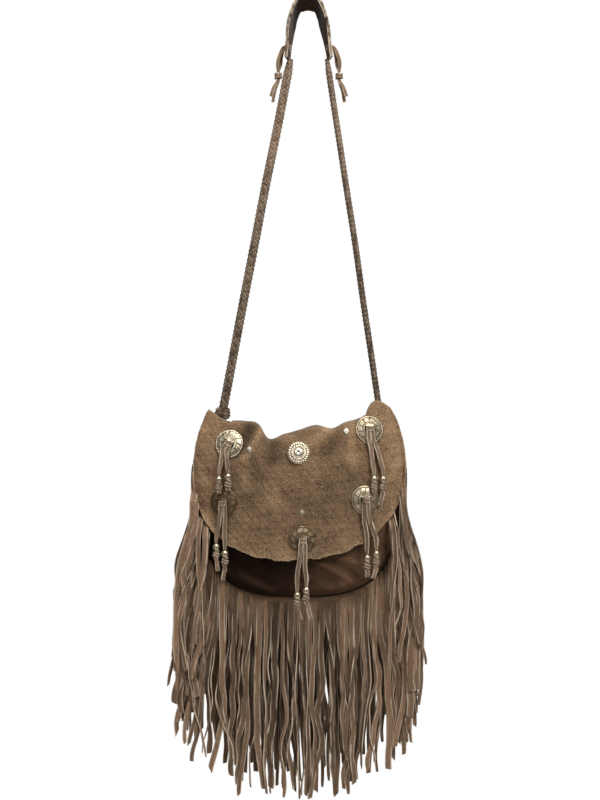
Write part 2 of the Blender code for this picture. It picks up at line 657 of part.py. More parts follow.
def tie_route(side):
    """Centres and wide directions of a tie lace, from one tail through the slot to the other tail."""
    end = PAD_ROUTE[0] if side < 0 else PAD_ROUTE[-1]
    end_x, end_z = end[0] * MM, end[1] * MM
    slot_z = end_z + SLOT_UP
    ring_x, ring_z = end_x + side * RING_OUT, end_z - RING_DOWN
    across, upright = (1.0, 0.0, 0.0), (0.0, 0.0, side)
    slant = (0.7, 0.0, 0.7 * side)
    # Each row is the distance out from the ring, the place along Y, the height over the ring,
    # and the direction that the flat of the lace lies in
    tail_a = ((8.2, -2.6, -23.0, across), (4.2, -2.4, -12.0, across), (0.0, -TIE_APART / MM, -5.0, across),
              (0.0, -TIE_APART / MM, 5.0, across), (0.8, -2.4, 13.0, across), (-1.5, -2.2, 22.0, slant))
    tail_b = ((6.0, 2.6, -28.0, across), (3.0, 2.4, -13.0, across), (0.0, TIE_APART / MM, -5.0, across),
              (0.0, TIE_APART / MM, 5.0, across), (-2.6, 2.4, 13.0, across), (-3.6, 2.2, 22.0, slant))
    rows = [(ring_x + side * out * MM, y * MM, ring_z + up * MM, wide) for out, y, up, wide in tail_a]
    inner = ((end_x + side * 6.0 * MM, -2.0 * MM), (end_x - side * 1.0 * MM, -2.0 * MM),
             (end_x - side * 3.0 * MM, 0.0), (end_x - side * 1.0 * MM, 2.0 * MM),
             (end_x + side * 6.0 * MM, 2.0 * MM))
    rows += [(x, y, slot_z, upright) for x, y in inner]
    rows += [(ring_x + side * out * MM, y * MM, ring_z + up * MM, wide) for out, y, up, wide in tail_b[::-1]]
    centres = [row[:3] for row in rows]
    return centres, [row[3] for row in rows], (ring_x, ring_z)


def make_tie(name, side, materials):
    """The lace that ties a braid to the pad, and the suede ring round its two tails."""
    centres, wide, (ring_x, ring_z) = tie_route(side)
    shape = swept(centres, wide, [TIE_SIZE] * len(centres), sides=4)
    add_object("tie_lace_" + name, *shape, materials["braid"], smooth=False)
    corner = math.hypot(TIE_SIZE[0] / 2, TIE_APART + TIE_SIZE[1] / 2)
    hole = (corner + CLEAR) / math.cos(math.pi / RING_SIDES)
    wall = RING_WALL
    half = RING_TALL / 2
    profile = [(hole + wall, -half), (hole + wall, half), (hole, half), (hole, -half)]
    verts, faces = turned(profile, RING_SIDES, closed=True)
    ring = add_object("tie_ring_" + name, verts, faces, materials["braid"])
    ring.location = (ring_x, 0.0, ring_z)


# Metal and laces on the flap

def flap_frame(across, height, turn=0.0):
    """Point on the flap's outer face and its three directions: right, up and outwards."""
    x, z = across * MM, height * MM
    step = 4.0 * MM
    slope_x = (flap_y(x + step, z) - flap_y(x - step, z)) / (2 * step)
    slope_z = (flap_y(x, z + step) - flap_y(x, z - step)) / (2 * step)
    outward = unit([slope_x, -1.0, slope_z])
    right = unit(np.cross([0.0, 0.0, 1.0], outward))
    up = np.cross(outward, right)
    cos, sin = math.cos(math.radians(turn)), math.sin(math.radians(turn))
    right, up = right * cos + up * sin, up * cos - right * sin
    point = np.array([x + BAG_X, float(flap_y(x, z)), z]) + outward * (SUEDE / 2 + 2 * CLEAR)
    return point, right, up, outward


def set_on_flap(thing, frame, pivot):
    """Turn an object to a place on the flap, with its Z outwards, and hang it on the hinge."""
    point, right, up, outward = frame
    rows = [[right[k], up[k], outward[k], point[k]] for k in range(3)]
    thing.parent = pivot
    thing.matrix_parent_inverse = pivot.matrix_world.inverted()
    thing.matrix_basis = Matrix(rows + [[0.0, 0.0, 0.0, 1.0]])


def make_concho(name, frame, pivot, materials):
    """A domed concho with its two lace slots."""
    rise, wall, r = CONCHO_RISE, CONCHO_WALL, CONCHO_R
    profile = [(0.0, rise), (0.45 * r, 0.87 * rise), (0.82 * r, 0.45 * rise), (r, 0.12 * rise), (r, 0.0),
               (r - 1.3 * wall, 0.0), (0.78 * r, 0.45 * rise - wall), (0.42 * r, 0.87 * rise - wall),
               (0.0, rise - wall)]
    verts, faces = turned(profile, 16, closed=False)
    concho = add_object("concho_" + name, verts, faces, materials["nickel"])
    slot_verts, slot_faces = [], []
    for side in (-1, 1):
        x = side * CONCHO_SLOT_X
        low = (x - CONCHO_SLOT[0] / 2, -CONCHO_SLOT[1] / 2, -MM)
        high = (x + CONCHO_SLOT[0] / 2, CONCHO_SLOT[1] / 2, rise + MM)
        corners, sides = box_verts(low, high)
        slot_faces += [tuple(i + len(slot_verts) for i in face) for face in sides]
        slot_verts += corners
    slots = add_object("slots_" + name, slot_verts, slot_faces, materials["nickel"], smooth=False)
    set_on_flap(concho, frame, pivot)
    set_on_flap(slots, frame, pivot)
    cut(concho, slots)


def strand_rows(slot_out, bead, tail):
    """Centres, wide directions and sizes of one hanging strand, from its concho slot to its tail."""
    bead_x, bead_z = bead
    across = np.array([1.0, 0.0, 0.0])
    full, neck = (LACE_WIDE, LACE_THICK), (LACE_NECK, LACE_THICK)
    bead_y = float(flap_y(bead_x, bead_z)) - LACE_OUT
    start_x, start_z = slot_out[0] - BAG_X, slot_out[2]
    neck_top = bead_z + BEAD_TALL / 2 + NECK_LONG
    shoulder_z = neck_top + SHOULDER
    rows = []
    for share in (0.3, 1.0):
        x = start_x + (bead_x - start_x) * share
        z = start_z + (shoulder_z - start_z) * share
        y = float(flap_y(x, z)) - LACE_OUT
        rows.append((np.array([x + BAG_X, y, z]), across, full))
    knot_top = bead_z - BEAD_TALL / 2 - NECK_LONG
    knot_low = knot_top - KNOT_LONG
    wide, deep = LACE_KNOT
    rounded = (wide * 0.8, deep * 0.8)
    for z, size in ((neck_top, neck), (knot_top + NECK_LONG / 2, neck), (knot_top, rounded),
                    ((knot_top + knot_low) / 2, LACE_KNOT), (knot_low, rounded),
                    (knot_low - NECK_LONG, neck), (knot_low - NECK_LONG - SHOULDER, full),
                    (knot_low - NECK_LONG - SHOULDER - tail * MM, full)):
        rows.append((np.array([bead_x + BAG_X, bead_y, z]), across, size))
    return rows, (bead_x + BAG_X, bead_y, bead_z)


def make_lace(name, frame, strands, pivot, materials):
    """The lace through a concho's slots with its two knotted strands, and a bead on each."""
    point, right, up, outward = frame

    def local(u, w):
        return point + right * u + outward * w

    bridge = LACE_BRIDGE
    inside = [(local(-CONCHO_SLOT_X, 6.6 * MM), up, bridge), (local(-CONCHO_SLOT_X, 2.9 * MM), up, bridge),
              (local(-2.9 * MM, 1.6 * MM), up, bridge), (local(2.9 * MM, 1.6 * MM), up, bridge),
              (local(CONCHO_SLOT_X, 2.9 * MM), up, bridge), (local(CONCHO_SLOT_X, 6.6 * MM), up, bridge)]
    first, bead_a = strand_rows(inside[0][0], (strands[0][0] * MM, strands[0][1] * MM), strands[0][2])
    second, bead_b = strand_rows(inside[-1][0], (strands[1][0] * MM, strands[1][1] * MM), strands[1][2])
    rows = first[::-1] + inside + second
    lace = add_object("lace_" + name, *swept(*zip(*rows), sides=4), materials["braid"], smooth=False)
    lace.parent = pivot
    lace.matrix_parent_inverse = pivot.matrix_world.inverted()
    half = BEAD_TALL / 2
    profile = [(BEAD_R * 0.82, -half), (BEAD_R, 0.0), (BEAD_R * 0.82, half),
               (BEAD_HOLE_R, half), (BEAD_HOLE_R, -half)]
    for letter, place in (("a", bead_a), ("b", bead_b)):
        bead = add_object("bead_" + name + "_" + letter, *turned(profile, 8, closed=True), materials["nickel"])
        bead.parent = pivot
        bead.matrix_parent_inverse = pivot.matrix_world.inverted()
        bead.location = place


def make_rosette(pivot, flap, materials):
    """The beaded rosette, its back disc and post, and the hole for the post in the flap."""
    frame = flap_frame(*ROSETTE_AT)
    steps = ROSETTE_BEADS * 2
    r, rise = ROSETTE_R, ROSETTE_RISE
    rings = [(0.26, 1.0, 0.0), (0.44, 0.50, 0.0), (0.60, 0.62, 0.20), (0.73, 0.34, 0.0),
             (0.88, 0.36, 0.20), (1.0, 0.10, 0.0), (1.0, 0.0, 0.0)]
    verts = [(0.0, 0.0, rise * 0.9)]
    for share, height, lobe in rings:
        for k in range(steps):
            angle = 2 * math.pi * k / steps
            lift = height + (lobe if k % 2 else -lobe)
            verts.append((share * r * math.cos(angle), share * r * math.sin(angle), lift * rise))
    verts.append((0.0, 0.0, 0.0))
    faces = [(0, 1 + k, 1 + (k + 1) % steps) for k in range(steps)]
    for ring in range(len(rings) - 1):
        base = 1 + ring * steps
        for k in range(steps):
            m = (k + 1) % steps
            faces.append((base + k, base + steps + k, base + steps + m, base + m))
    base = 1 + (len(rings) - 1) * steps
    faces += [(base + k, len(verts) - 1, base + (k + 1) % steps) for k in range(steps)]
    set_on_flap(add_object("rosette", verts, faces, materials["nickel"]), frame, pivot)
    disc_top = -(SUEDE + 4.5 * CLEAR)
    profile = [(0.0, -CLEAR), (ROSETTE_POST_R, -CLEAR), (ROSETTE_POST_R, disc_top), (WASHER_R, disc_top),
               (WASHER_R, disc_top - WASHER_THICK), (0.0, disc_top - WASHER_THICK)]
    verts, faces = turned(profile, 14, closed=False)
    set_on_flap(add_object("rosette_back", verts, faces, materials["nickel"]), frame, pivot)
    hole_r = ROSETTE_POST_R + CLEAR
    deep = 4.0 * MM
    verts, faces = turned([(0.0, deep), (hole_r, deep), (hole_r, -deep), (0.0, -deep)], 14, closed=False)
    hole = add_object("post_hole", verts, faces, materials["nickel"], smooth=False)
    set_on_flap(hole, frame, pivot)
    cut(flap, hole)


def seated(frame, surface):
    """The frame moved along its outward direction until it stands just clear of a faceted surface."""
    point, right, up, outward = frame
    start = Vector(point + outward * STUD_SEARCH)
    hit = surface.ray_cast(start, Vector(-outward))[0]
    return np.array(hit) + outward * CLEAR, right, up, outward


def make_stud(name, place, surface, pivot, materials):
    """A small pyramid stud standing on its point, like a diamond."""
    wide, tall = STUD_HALF
    verts = []
    for height in (0.0, 0.5 * MM):
        verts += [(wide, 0.0, height), (0.0, tall, height), (-wide, 0.0, height), (0.0, -tall, height)]
    verts.append((0.0, 0.0, STUD_RISE))
    faces = [(0, 3, 2, 1)]
    for k in range(4):
        m = (k + 1) % 4
        faces += [(k, m, 4 + m, 4 + k), (4 + k, 4 + m, 8)]
    stud = add_object(name, verts, faces, materials["nickel"], smooth=False)
    set_on_flap(stud, seated(flap_frame(*place), surface), pivot)


def main():
    """Build the bag in the order in which it is put together."""
    clear_scene()
    materials = make_materials()

    def back_top(u):
        return HINGE_Z - ridge_drop(u) - ROLL_RISE - FOLD_GAP

    def mouth(u):
        return MOUTH_SIDE_Z - MOUTH_DIP * (1 - u**2)

    make_panel("back_panel", back_top, back_y, FLAP_COLUMNS, 3, materials["suede"])
    make_panel("front_panel", mouth, front_y, 20, 4, materials["dark_suede"])
    under_y = SEAM_Y - (SUEDE + FRINGE_SUEDE) / 2 - CLEAR
    front_header_y = under_y - FRINGE_SUEDE - CLEAR
    make_fringe("fringe_under", under_y, 1, STRAND_PITCH * UNDER_COARSER, SIDE_PITCH * UNDER_COARSER,
                materials["fringe_suede"])
    make_fringe("fringe_front", front_header_y, -1, STRAND_PITCH, SIDE_PITCH, materials["fringe_suede"])
    make_pad(materials)
    make_braid("strap_braid_left", -1, materials["braid"])
    make_braid("strap_braid_right", 1, materials["braid"])
    make_tie("left", -1, materials)
    make_tie("right", 1, materials)

    pivot = bpy.data.objects.new("flap_pivot", None)
    pivot.location = (0.0, HINGE_Y, HINGE_Z)
    bpy.context.collection.objects.link(pivot)
    bpy.context.view_layer.update()
    flap = add_object("flap", *thick_sheet(flap_grid(FLAP_COLUMNS, 3, 6), SUEDE), materials["suede"])
    flap.parent = pivot
    flap.matrix_parent_inverse = pivot.matrix_world.inverted()
    make_rosette(pivot, flap, materials)
    for name, (place, turn, strands) in CONCHOS.items():
        frame = flap_frame(*place, turn)
        make_concho(name, frame, pivot, materials)
        make_lace(name, frame, strands, pivot, materials)
    surface = BVHTree.FromObject(flap, bpy.context.evaluated_depsgraph_get())
    for name, place in STUDS.items():
        make_stud(name, place, surface, pivot, materials)


main()
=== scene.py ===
"""Looks of a fringed suede shoulder bag that hangs by the arch of its shoulder pad.

Frame: metres, +Z up, the front faces -Y and +X is to the right of someone looking at the bag.
Every surface is worked out as a grid of points from a few named sizes, and every finish is
procedural.
"""
import sys

import json
import logging
import math
from dataclasses import dataclass
from enum import Enum
from typing import Sequence

import bmesh
import bpy
import numpy as np
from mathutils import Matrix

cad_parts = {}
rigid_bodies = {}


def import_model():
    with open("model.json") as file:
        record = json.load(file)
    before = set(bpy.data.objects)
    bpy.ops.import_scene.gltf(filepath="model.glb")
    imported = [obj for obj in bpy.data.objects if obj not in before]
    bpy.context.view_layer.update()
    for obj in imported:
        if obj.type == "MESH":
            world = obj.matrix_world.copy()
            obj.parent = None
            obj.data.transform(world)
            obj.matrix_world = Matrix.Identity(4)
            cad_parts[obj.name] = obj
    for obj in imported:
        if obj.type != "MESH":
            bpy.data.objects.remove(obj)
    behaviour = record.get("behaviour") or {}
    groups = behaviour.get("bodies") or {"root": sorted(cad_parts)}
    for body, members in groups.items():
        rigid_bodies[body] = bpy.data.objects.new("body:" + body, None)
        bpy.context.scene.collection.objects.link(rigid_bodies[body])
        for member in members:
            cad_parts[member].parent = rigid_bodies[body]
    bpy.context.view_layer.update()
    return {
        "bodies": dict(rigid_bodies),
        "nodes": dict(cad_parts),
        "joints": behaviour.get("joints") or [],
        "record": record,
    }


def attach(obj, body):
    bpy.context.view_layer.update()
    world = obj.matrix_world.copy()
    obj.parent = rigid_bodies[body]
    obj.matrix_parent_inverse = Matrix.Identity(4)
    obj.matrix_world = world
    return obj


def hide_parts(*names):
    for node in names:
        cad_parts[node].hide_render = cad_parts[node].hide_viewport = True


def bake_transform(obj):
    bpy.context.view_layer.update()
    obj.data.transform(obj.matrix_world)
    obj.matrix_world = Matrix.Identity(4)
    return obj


Array = np.ndarray
Draw = np.random.Generator
Pair = tuple[float, float]
MM = 0.001
SEED = 11
TINY = 1e-12
TURN = 2 * math.pi
RIPPLE_SPREAD = (0.6, 1.7)
ACROSS, UPRIGHT = np.array([1.0, 0.0, 0.0]), np.array([0.0, 0.0, 1.0])
LOG = logging.getLogger("bag")


class Body(Enum):
    """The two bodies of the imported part."""

    BAG = "bag"
    FLAP = "flap"


# Plain maths


def smooth_step(value: Array, low: float, high: float) -> Array:
    """Rise smoothly from 0 below low to 1 above high."""
    t = np.clip((value - low) / (high - low), 0.0, 1.0)
    return t * t * (3.0 - 2.0 * t)


def bell(value: Array, centre: Array | float, width: float) -> Array:
    """Give 1 at the centre and less around it: e to minus the square of the distance in widths."""
    return np.exp(-((value - centre) / width) ** 2)


def ramp_mm(value: Array, ends: Pair) -> Array:
    """Rise smoothly from 0 to 1 between two ends in millimetres."""
    return smooth_step(value, ends[0] * MM, ends[1] * MM)


def eased(even: Array, share: float) -> Array:
    """Crowd even places from -1 to 1 towards both ends, by mixing in a share of their sine."""
    return (1.0 - share) * even + share * np.sin(even * math.pi / 2)


def band(r: Array, ends: Sequence[float]) -> Array:
    """Rise smoothly from 0 to 1 between the first two ends, and fall back between the last two."""
    return smooth_step(r, ends[0], ends[1]) * (1 - smooth_step(r, ends[2], ends[3]))


def unit(vectors: Array) -> Array:
    """Scale the vectors to length 1."""
    vectors = np.asarray(vectors, float)
    return vectors / np.maximum(np.linalg.norm(vectors, axis=-1, keepdims=True), TINY)


def travelled(points: Array) -> Array:
    """Distance along a line of points, from 0 at its first one."""
    return np.concatenate([[0.0], np.cumsum(np.linalg.norm(np.diff(points, axis=0), axis=1))])


def curve_through(points: Array, at: Array) -> Array:
    """Read a Catmull-Rom curve through (key, value...) rows.

    Args:
        points: rows of a key followed by one or more values, with rising keys.
        at: keys to read at.

    Returns:
        The values at those keys, one row for each.
    """
    keys, values = points[:, 0], points[:, 1:]
    slopes = np.gradient(values, keys, axis=0)
    at = np.clip(np.asarray(at, float), keys[0], keys[-1])
    i = np.clip(np.searchsorted(keys, at, side="right") - 1, 0, len(keys) - 2)
    span = (keys[i + 1] - keys[i])[..., None]
    t = (at - keys[i])[..., None] / span
    a, b = values[i], values[i + 1]
    ta, tb = slopes[i] * span, slopes[i + 1] * span
    return ((2 * t**3 - 3 * t**2 + 1) * a + (t**3 - 2 * t**2 + t) * ta
            + (-2 * t**3 + 3 * t**2) * b + (t**3 - t**2) * tb)


def evenly(rows: Sequence, count: int) -> Array:
    """Read a smooth curve through rows of a place and further values, at even steps along it.

    Args:
        rows: the place in the first three columns, or in both of two, and then other values.
        count: how many points to read.

    Returns:
        One row of the same columns for each point.
    """
    rows = np.array(rows)
    run = travelled(rows[:, :3])
    return curve_through(np.column_stack([run, rows]), np.linspace(0.0, run[-1], count))


def ripple(x: Array, z: Array, wave: float, seed: int, terms: int = 9) -> Array:
    """Give an even, seeded unrest between about -1 and 1 over a plane.

    The formula is a sum of plane waves in random directions, with lengths around the one given.

    Args:
        x: first coordinate, in metres.
        z: second coordinate, in metres.
        wave: middle wavelength, in metres.
        seed: which unrest.
        terms: how many waves are summed.

    Returns:
        One number for each point.
    """
    draw = np.random.default_rng(seed)
    total = np.zeros(np.broadcast(x, z).shape)
    for _ in range(terms):
        angle = draw.uniform(0.0, TURN)
        number = TURN / (wave * draw.uniform(*RIPPLE_SPREAD))
        phase = draw.uniform(0.0, TURN)
        total = total + np.sin((x * math.cos(angle) + z * math.sin(angle)) * number + phase)
    return total / math.sqrt(terms)


def crease_height(x: Array, z: Array, creases: Sequence[tuple]) -> Array:
    """Height of soft creases: for each, a bell of the distance to its line.

    Args:
        x: first coordinate, in metres.
        z: second coordinate, in metres.
        creases: rows of both ends' coordinates, height and width, in millimetres.

    Returns:
        The height at each point, in metres.
    """
    total = np.zeros(np.broadcast(x, z).shape)
    for x0, z0, x1, z1, height, width in creases:
        way = np.array([x1 - x0, z1 - z0])
        near = np.clip(((x / MM - x0) * way[0] + (z / MM - z0) * way[1]) / (way @ way), 0.0, 1.0)
        off = np.hypot(x / MM - x0 - near * way[0], z / MM - z0 - near * way[1])
        total = total + height * MM * bell(off, 0.0, width)
    return total


# Meshes


@dataclass
class Shape:
    """Points, four-sided faces and one value per point for each named attribute."""

    verts: Array
    quads: Array
    values: dict[str, Array]

    @staticmethod
    def joined(shapes: Sequence["Shape"]) -> "Shape":
        """Put several shapes into one; an attribute that a shape lacks is 0 on it."""
        names = sorted({name for shape in shapes for name in shape.values})
        start, quads = 0, []
        for shape in shapes:
            quads.append(shape.quads + start)
            start += len(shape.verts)
        values = {name: np.concatenate([shape.values.get(name, np.zeros(len(shape.verts)))
                                        for shape in shapes]) for name in names}
        return Shape(np.concatenate([shape.verts for shape in shapes]), np.concatenate(quads), values)


def grid_normals(grid: Array, wrap: bool = False) -> Array:
    """Work out the unit normals of a grid of points, as the cross product of its two slopes.

    Args:
        grid: points, rows by columns by 3.
        wrap: whether the last column joins the first.

    Returns:
        One normal for each point.
    """
    if wrap:
        ring = np.concatenate([grid[:, -1:], grid, grid[:, :1]], axis=1)
        across = np.gradient(ring, axis=1)[:, 1:-1]
    else:
        across = np.gradient(grid, axis=1)
    return unit(np.cross(across, np.gradient(grid, axis=0)))


def sheet_shape(grid: Array, thickness: float, keep: Array | None = None, wrap: bool = False) -> Shape:
    """Make a closed sheet round a grid of mid-surface points.

    Each point is moved half the thickness to both sides along the surface normal, and a rim of
    faces closes every open edge. The attribute "rim" is 1 on those edges.

    Args:
        grid: mid-surface points, rows by columns by 3.
        thickness: thickness of the sheet, in metres.
        keep: which cells there are; all of them if not given.
        wrap: whether the last column joins the first.

    Returns:
        The closed shape.
    """
    rows, cols = grid.shape[:2]
    cells = np.ones((rows - 1, cols if wrap else cols - 1), bool) if keep is None else keep
    normal = grid_normals(grid, wrap)
    half = rows * cols
    verts = np.concatenate([(grid + normal * thickness / 2).reshape(-1, 3),
                            (grid - normal * thickness / 2).reshape(-1, 3)])
    r, c = np.nonzero(cells)
    after = (c + 1) % cols
    a, b = r * cols + c, r * cols + after
    d, e = (r + 1) * cols + c, (r + 1) * cols + after
    quads = [np.stack([a, b, e, d], axis=1), np.stack([a, d, e, b], axis=1) + half]
    around = np.zeros((cells.shape[0] + 2, cells.shape[1] + 2), bool)
    around[1:-1, 1:-1] = cells
    if wrap:
        around[1:-1, 0], around[1:-1, -1] = cells[:, -1], cells[:, 0]
    rim = np.zeros(len(verts))
    for open_side, first, second in ((~around[r, c + 1], a, b), (~around[r + 2, c + 1], e, d),
                                     (~around[r + 1, c], d, a), (~around[r + 1, c + 2], b, e)):
        p, q = first[open_side], second[open_side]
        quads.append(np.stack([p, p + half, q + half, q], axis=1))
        for index in (p, q, p + half, q + half):
            rim[index] = 1.0
    quads = np.concatenate(quads)
    used = np.unique(quads)
    fresh = np.zeros(len(verts), int)
    fresh[used] = np.arange(len(used))
    return Shape(verts[used], fresh[quads], {"rim": rim[used]})


# Ten points round the section of a flat strip, as shares of its half width and half thickness
STRIP_U = np.array([-1.0, -0.68, 0.0, 0.68, 1.0, 1.0, 0.68, 0.0, -0.68, -1.0])
STRIP_V = np.array([-1.0] * 5 + [1.0] * 5)
RIM_FROM = 0.64
STRIP_RIM = np.clip((np.abs(STRIP_U) - RIM_FROM) / (1 - RIM_FROM), 0.0, 1.0)
# A cupped strip keeps its middle line where its section is this share of the full cup deep
CUP_LEVEL = 0.4


def strip_shape(centres: Array, wide: Array, width: Array | float, thick: float, curl: Array | float = 0.0,
                tone: Array | float = 0.5, dim: float = 0.0, slant: Array | float = 0.0) -> Shape:
    """Make flat leather strips along several paths.

    At each point of a path the section is a rectangle, turned so that its width follows wide as
    far as the path allows, and cupped by curl times the square of the place across it. The
    attribute "rim" is 1 on the two cut edges and "tone" is one value for each strip.

    Args:
        centres: points of the paths, strips by points by 3.
        wide: direction of the width at each point.
        width: width at each point, in metres.
        thick: thickness at each point, in metres.
        curl: depth of the cup as a share of the width.
        tone: one value for each strip or one for all, mostly from 0 to 1.
        dim: how much lower the tone is on the face that looks along the face direction.
        slant: slope of the cut at the far end, one value for each strip.

    Returns:
        All strips as one shape.
    """
    count, steps = centres.shape[:2]
    along = unit(np.gradient(centres, axis=1))
    wide = unit(wide - along * np.sum(wide * along, axis=-1, keepdims=True))
    face = np.cross(along, wide)
    width = np.broadcast_to(width, (count, steps))[..., None, None]
    cup = np.broadcast_to(curl, (count, steps))[..., None, None] * width
    u, v = STRIP_U[:, None], STRIP_V[:, None]
    verts = (centres[:, :, None] + wide[:, :, None] * u * width / 2
             + face[:, :, None] * (v * thick / 2 + cup * (u**2 - CUP_LEVEL)))
    tip = np.broadcast_to(slant, (count,))[:, None, None]
    verts[:, -1] += along[:, -1, None] * (tip * u * width[:, -1] / 2)
    sides = len(STRIP_U)
    base = (np.arange(count)[:, None] * steps + np.arange(steps - 1)) * sides
    j = np.arange(sides)
    k = (j + 1) % sides
    quads = np.stack([base[..., None] + j, base[..., None] + k,
                      base[..., None] + sides + k, base[..., None] + sides + j], axis=-1).reshape(-1, 4)
    caps = []
    ends = np.arange(count) * steps * sides
    for first in range(sides // 2 - 1):
        square = np.array([first, sides - 1 - first, sides - 2 - first, first + 1])
        caps.append(ends[:, None] + square)
        caps.append(ends[:, None] + (steps - 1) * sides + square[::-1])
    quads = np.concatenate([quads] + caps)
    rim = np.broadcast_to(STRIP_RIM, (count, steps, sides))
    shade = np.broadcast_to(tone, (count,))[:, None, None] - dim * (STRIP_V > 0) + np.zeros(rim.shape)
    return Shape(verts.reshape(-1, 3), quads, {"rim": rim.reshape(-1), "tone": shade.reshape(-1)})


def round_grid(radius: Array, angle: Array, height: Array) -> Array:
    """Place points at radii and angles round Z, at their heights; the three are broadcast together."""
    return np.stack(np.broadcast_arrays(radius * np.cos(angle), radius * np.sin(angle), height), axis=-1)


def angles(steps: int) -> Array:
    """Even angles round a full turn."""
    return TURN * np.arange(steps) / steps


def turned_shape(radius: Array, height: Array, steps: int) -> Shape:
    """Turn a closed profile round Z.

    Args:
        radius: radii of the profile's points.
        height: their heights.
        steps: how many copies of the profile stand round the axis.

    Returns:
        The closed shape.
    """
    grid = round_grid(radius[:, None], angles(steps), height[:, None])
    rows = len(radius)
    r, c = (a.ravel() for a in np.meshgrid(np.arange(rows), np.arange(steps), indexing="ij"))
    below, after = (r + 1) % rows, (c + 1) % steps
    quads = np.stack([r * steps + c, r * steps + after, below * steps + after, below * steps + c], axis=1)
    return Shape(grid.reshape(-1, 3), quads, {})


def build(name: str, shape: Shape, material: bpy.types.Material, sharp: float) -> bpy.types.Object:
    """Turn a shape into a smooth-shaded object with outward faces and link it to the scene.

    Args:
        name: name of the piece.
        shape: its points, faces and attributes.
        material: its one material.
        sharp: edges over this many degrees stay sharp.

    Returns:
        The object, at the origin and unturned.
    """
    mesh = bpy.data.meshes.new(name)
    mesh.from_pydata(shape.verts.tolist(), [], shape.quads.tolist())
    body = bmesh.new()
    body.from_mesh(mesh)
    bmesh.ops.recalc_face_normals(body, faces=body.faces)
    body.to_mesh(mesh)
    body.free()
    for key, value in shape.values.items():
        layer = mesh.attributes.new(key, "FLOAT", "POINT")
        layer.data.foreach_set("value", np.asarray(value, np.float32))
    mesh.shade_smooth()
    mesh.set_sharp_from_angle(angle=math.radians(sharp))
    mesh.materials.append(material)
    thing = bpy.data.objects.new(name, mesh)
    bpy.context.scene.collection.objects.link(thing)
    return thing


def placed(shape: Shape, point: Array, right: Array, up: Array, outward: Array) -> Shape:
    """Move a shape from its own axes to a place.

    Args:
        shape: the shape, in its own axes.
        point: where its origin goes.
        right: where its first axis points.
        up: where its second axis points.
        outward: where its third axis points.

    Returns:
        The moved shape.
    """
    turn = np.stack([right, up, outward])
    return Shape(shape.verts @ turn + point, shape.quads, shape.values)


# Finishes


@dataclass(frozen=True)
class Suede:
    """Napped leather: a colour that drifts in patches and specks, with paler cut edges."""

    colour: tuple[float, float, float]
    pale: tuple[float, float, float]
    slot: str
    patch: float = 0.62
    speck: float = 1.3
    rim: float = 0.75
    tone: float = 0.0
    bump: float = 0.55 * MM
    bump_strength: float = 0.8
    roughness: float = 0.95
    specular: float = 0.06
    sheen: float = 0.08
    sheen_roughness: float = 0.6


@dataclass(frozen=True)
class Metal:
    """Old silver plate: worn bright on top and dark where tarnish sits; on some pieces the dark share is
    painted shade and painted reflection.
    """

    colour: tuple[float, float, float]
    tarnish: tuple[float, float, float]
    slot: str
    roughness: float = 0.30
    rougher: float = 0.35
    metallic: float = 1.0
    bump: float = 0.08 * MM
    bump_strength: float = 0.5


@dataclass(frozen=True)
class Grain:
    """Scales of the noise in the shared node groups, in waves a metre, and how strongly each counts."""

    patch: float = 40.0
    speck: float = 1050.0
    fibre: float = 1500.0
    fibre_shade: float = 0.5
    contrast: float = 2.0
    speck_height: float = 0.7
    fibre_height: float = 0.45
    rim: float = 55.0
    rim_stretch: tuple[float, float, float] = (5.0, 5.0, 0.6)
    rim_range: Pair = (0.38, 0.56)
    cloud: float = 210.0
    cloud_range: Pair = (0.42, 0.75)
    cloud_share: float = 0.45
    dents: float = 900.0


GRAIN = Grain()

SUEDE = Suede((0.172, 0.108, 0.060), (0.40, 0.30, 0.20), "suede", patch=0.50, speck=1.6, tone=1.1)
# Painted shade: the front panel is the bag's suede, coloured this dark because it lies in shadow under the
# flap
SHADOWED_SUEDE = Suede((0.040, 0.022, 0.013), (0.10, 0.07, 0.05), "dark_suede", patch=0.5, speck=0.7, rim=0.3,
                   tone=2.0, sheen=0.0)
LINING = Suede((0.070, 0.038, 0.028), (0.55, 0.44, 0.33), "dark_suede", patch=0.5, speck=0.8, rim=1.0)
FRINGE_SUEDE = Suede((0.130, 0.080, 0.048), (0.68, 0.54, 0.41), "fringe_suede", patch=0.1, speck=0.9,
                     rim=0.9, tone=0.85)
PAD_SUEDE = Suede((0.172, 0.108, 0.060), (0.74, 0.62, 0.47), "suede", patch=0.5, speck=1.2, rim=1.0)
# Painted highlight: the ring's pale colour is near white, laid on the top of its wrap
RING = Suede((0.195, 0.130, 0.083), (0.98, 0.95, 0.88), "braid", patch=0.4, speck=0.8, rim=1.0, tone=0.5)
BRAID = Suede((0.128, 0.086, 0.057), (0.52, 0.42, 0.31), "braid", patch=0.7, speck=1.6, rim=0.8, tone=0.8)
LACE = Suede((0.185, 0.123, 0.078), (0.78, 0.64, 0.48), "braid", patch=0.4, speck=0.8, rim=1.0, tone=0.5)
NICKEL = Metal((0.69, 0.60, 0.44), (0.138, 0.088, 0.044), "nickel")
ROSETTE_METAL = Metal((0.84, 0.76, 0.61), (0.14, 0.09, 0.05), "nickel", roughness=0.34)
# Painted reflection: the studs are a pale near-white non-metal, standing in for the bright reflection of
# silver
STUD_METAL = Metal((1.0, 0.95, 0.82), (0.20, 0.14, 0.08), "nickel", roughness=0.5, metallic=0.0)


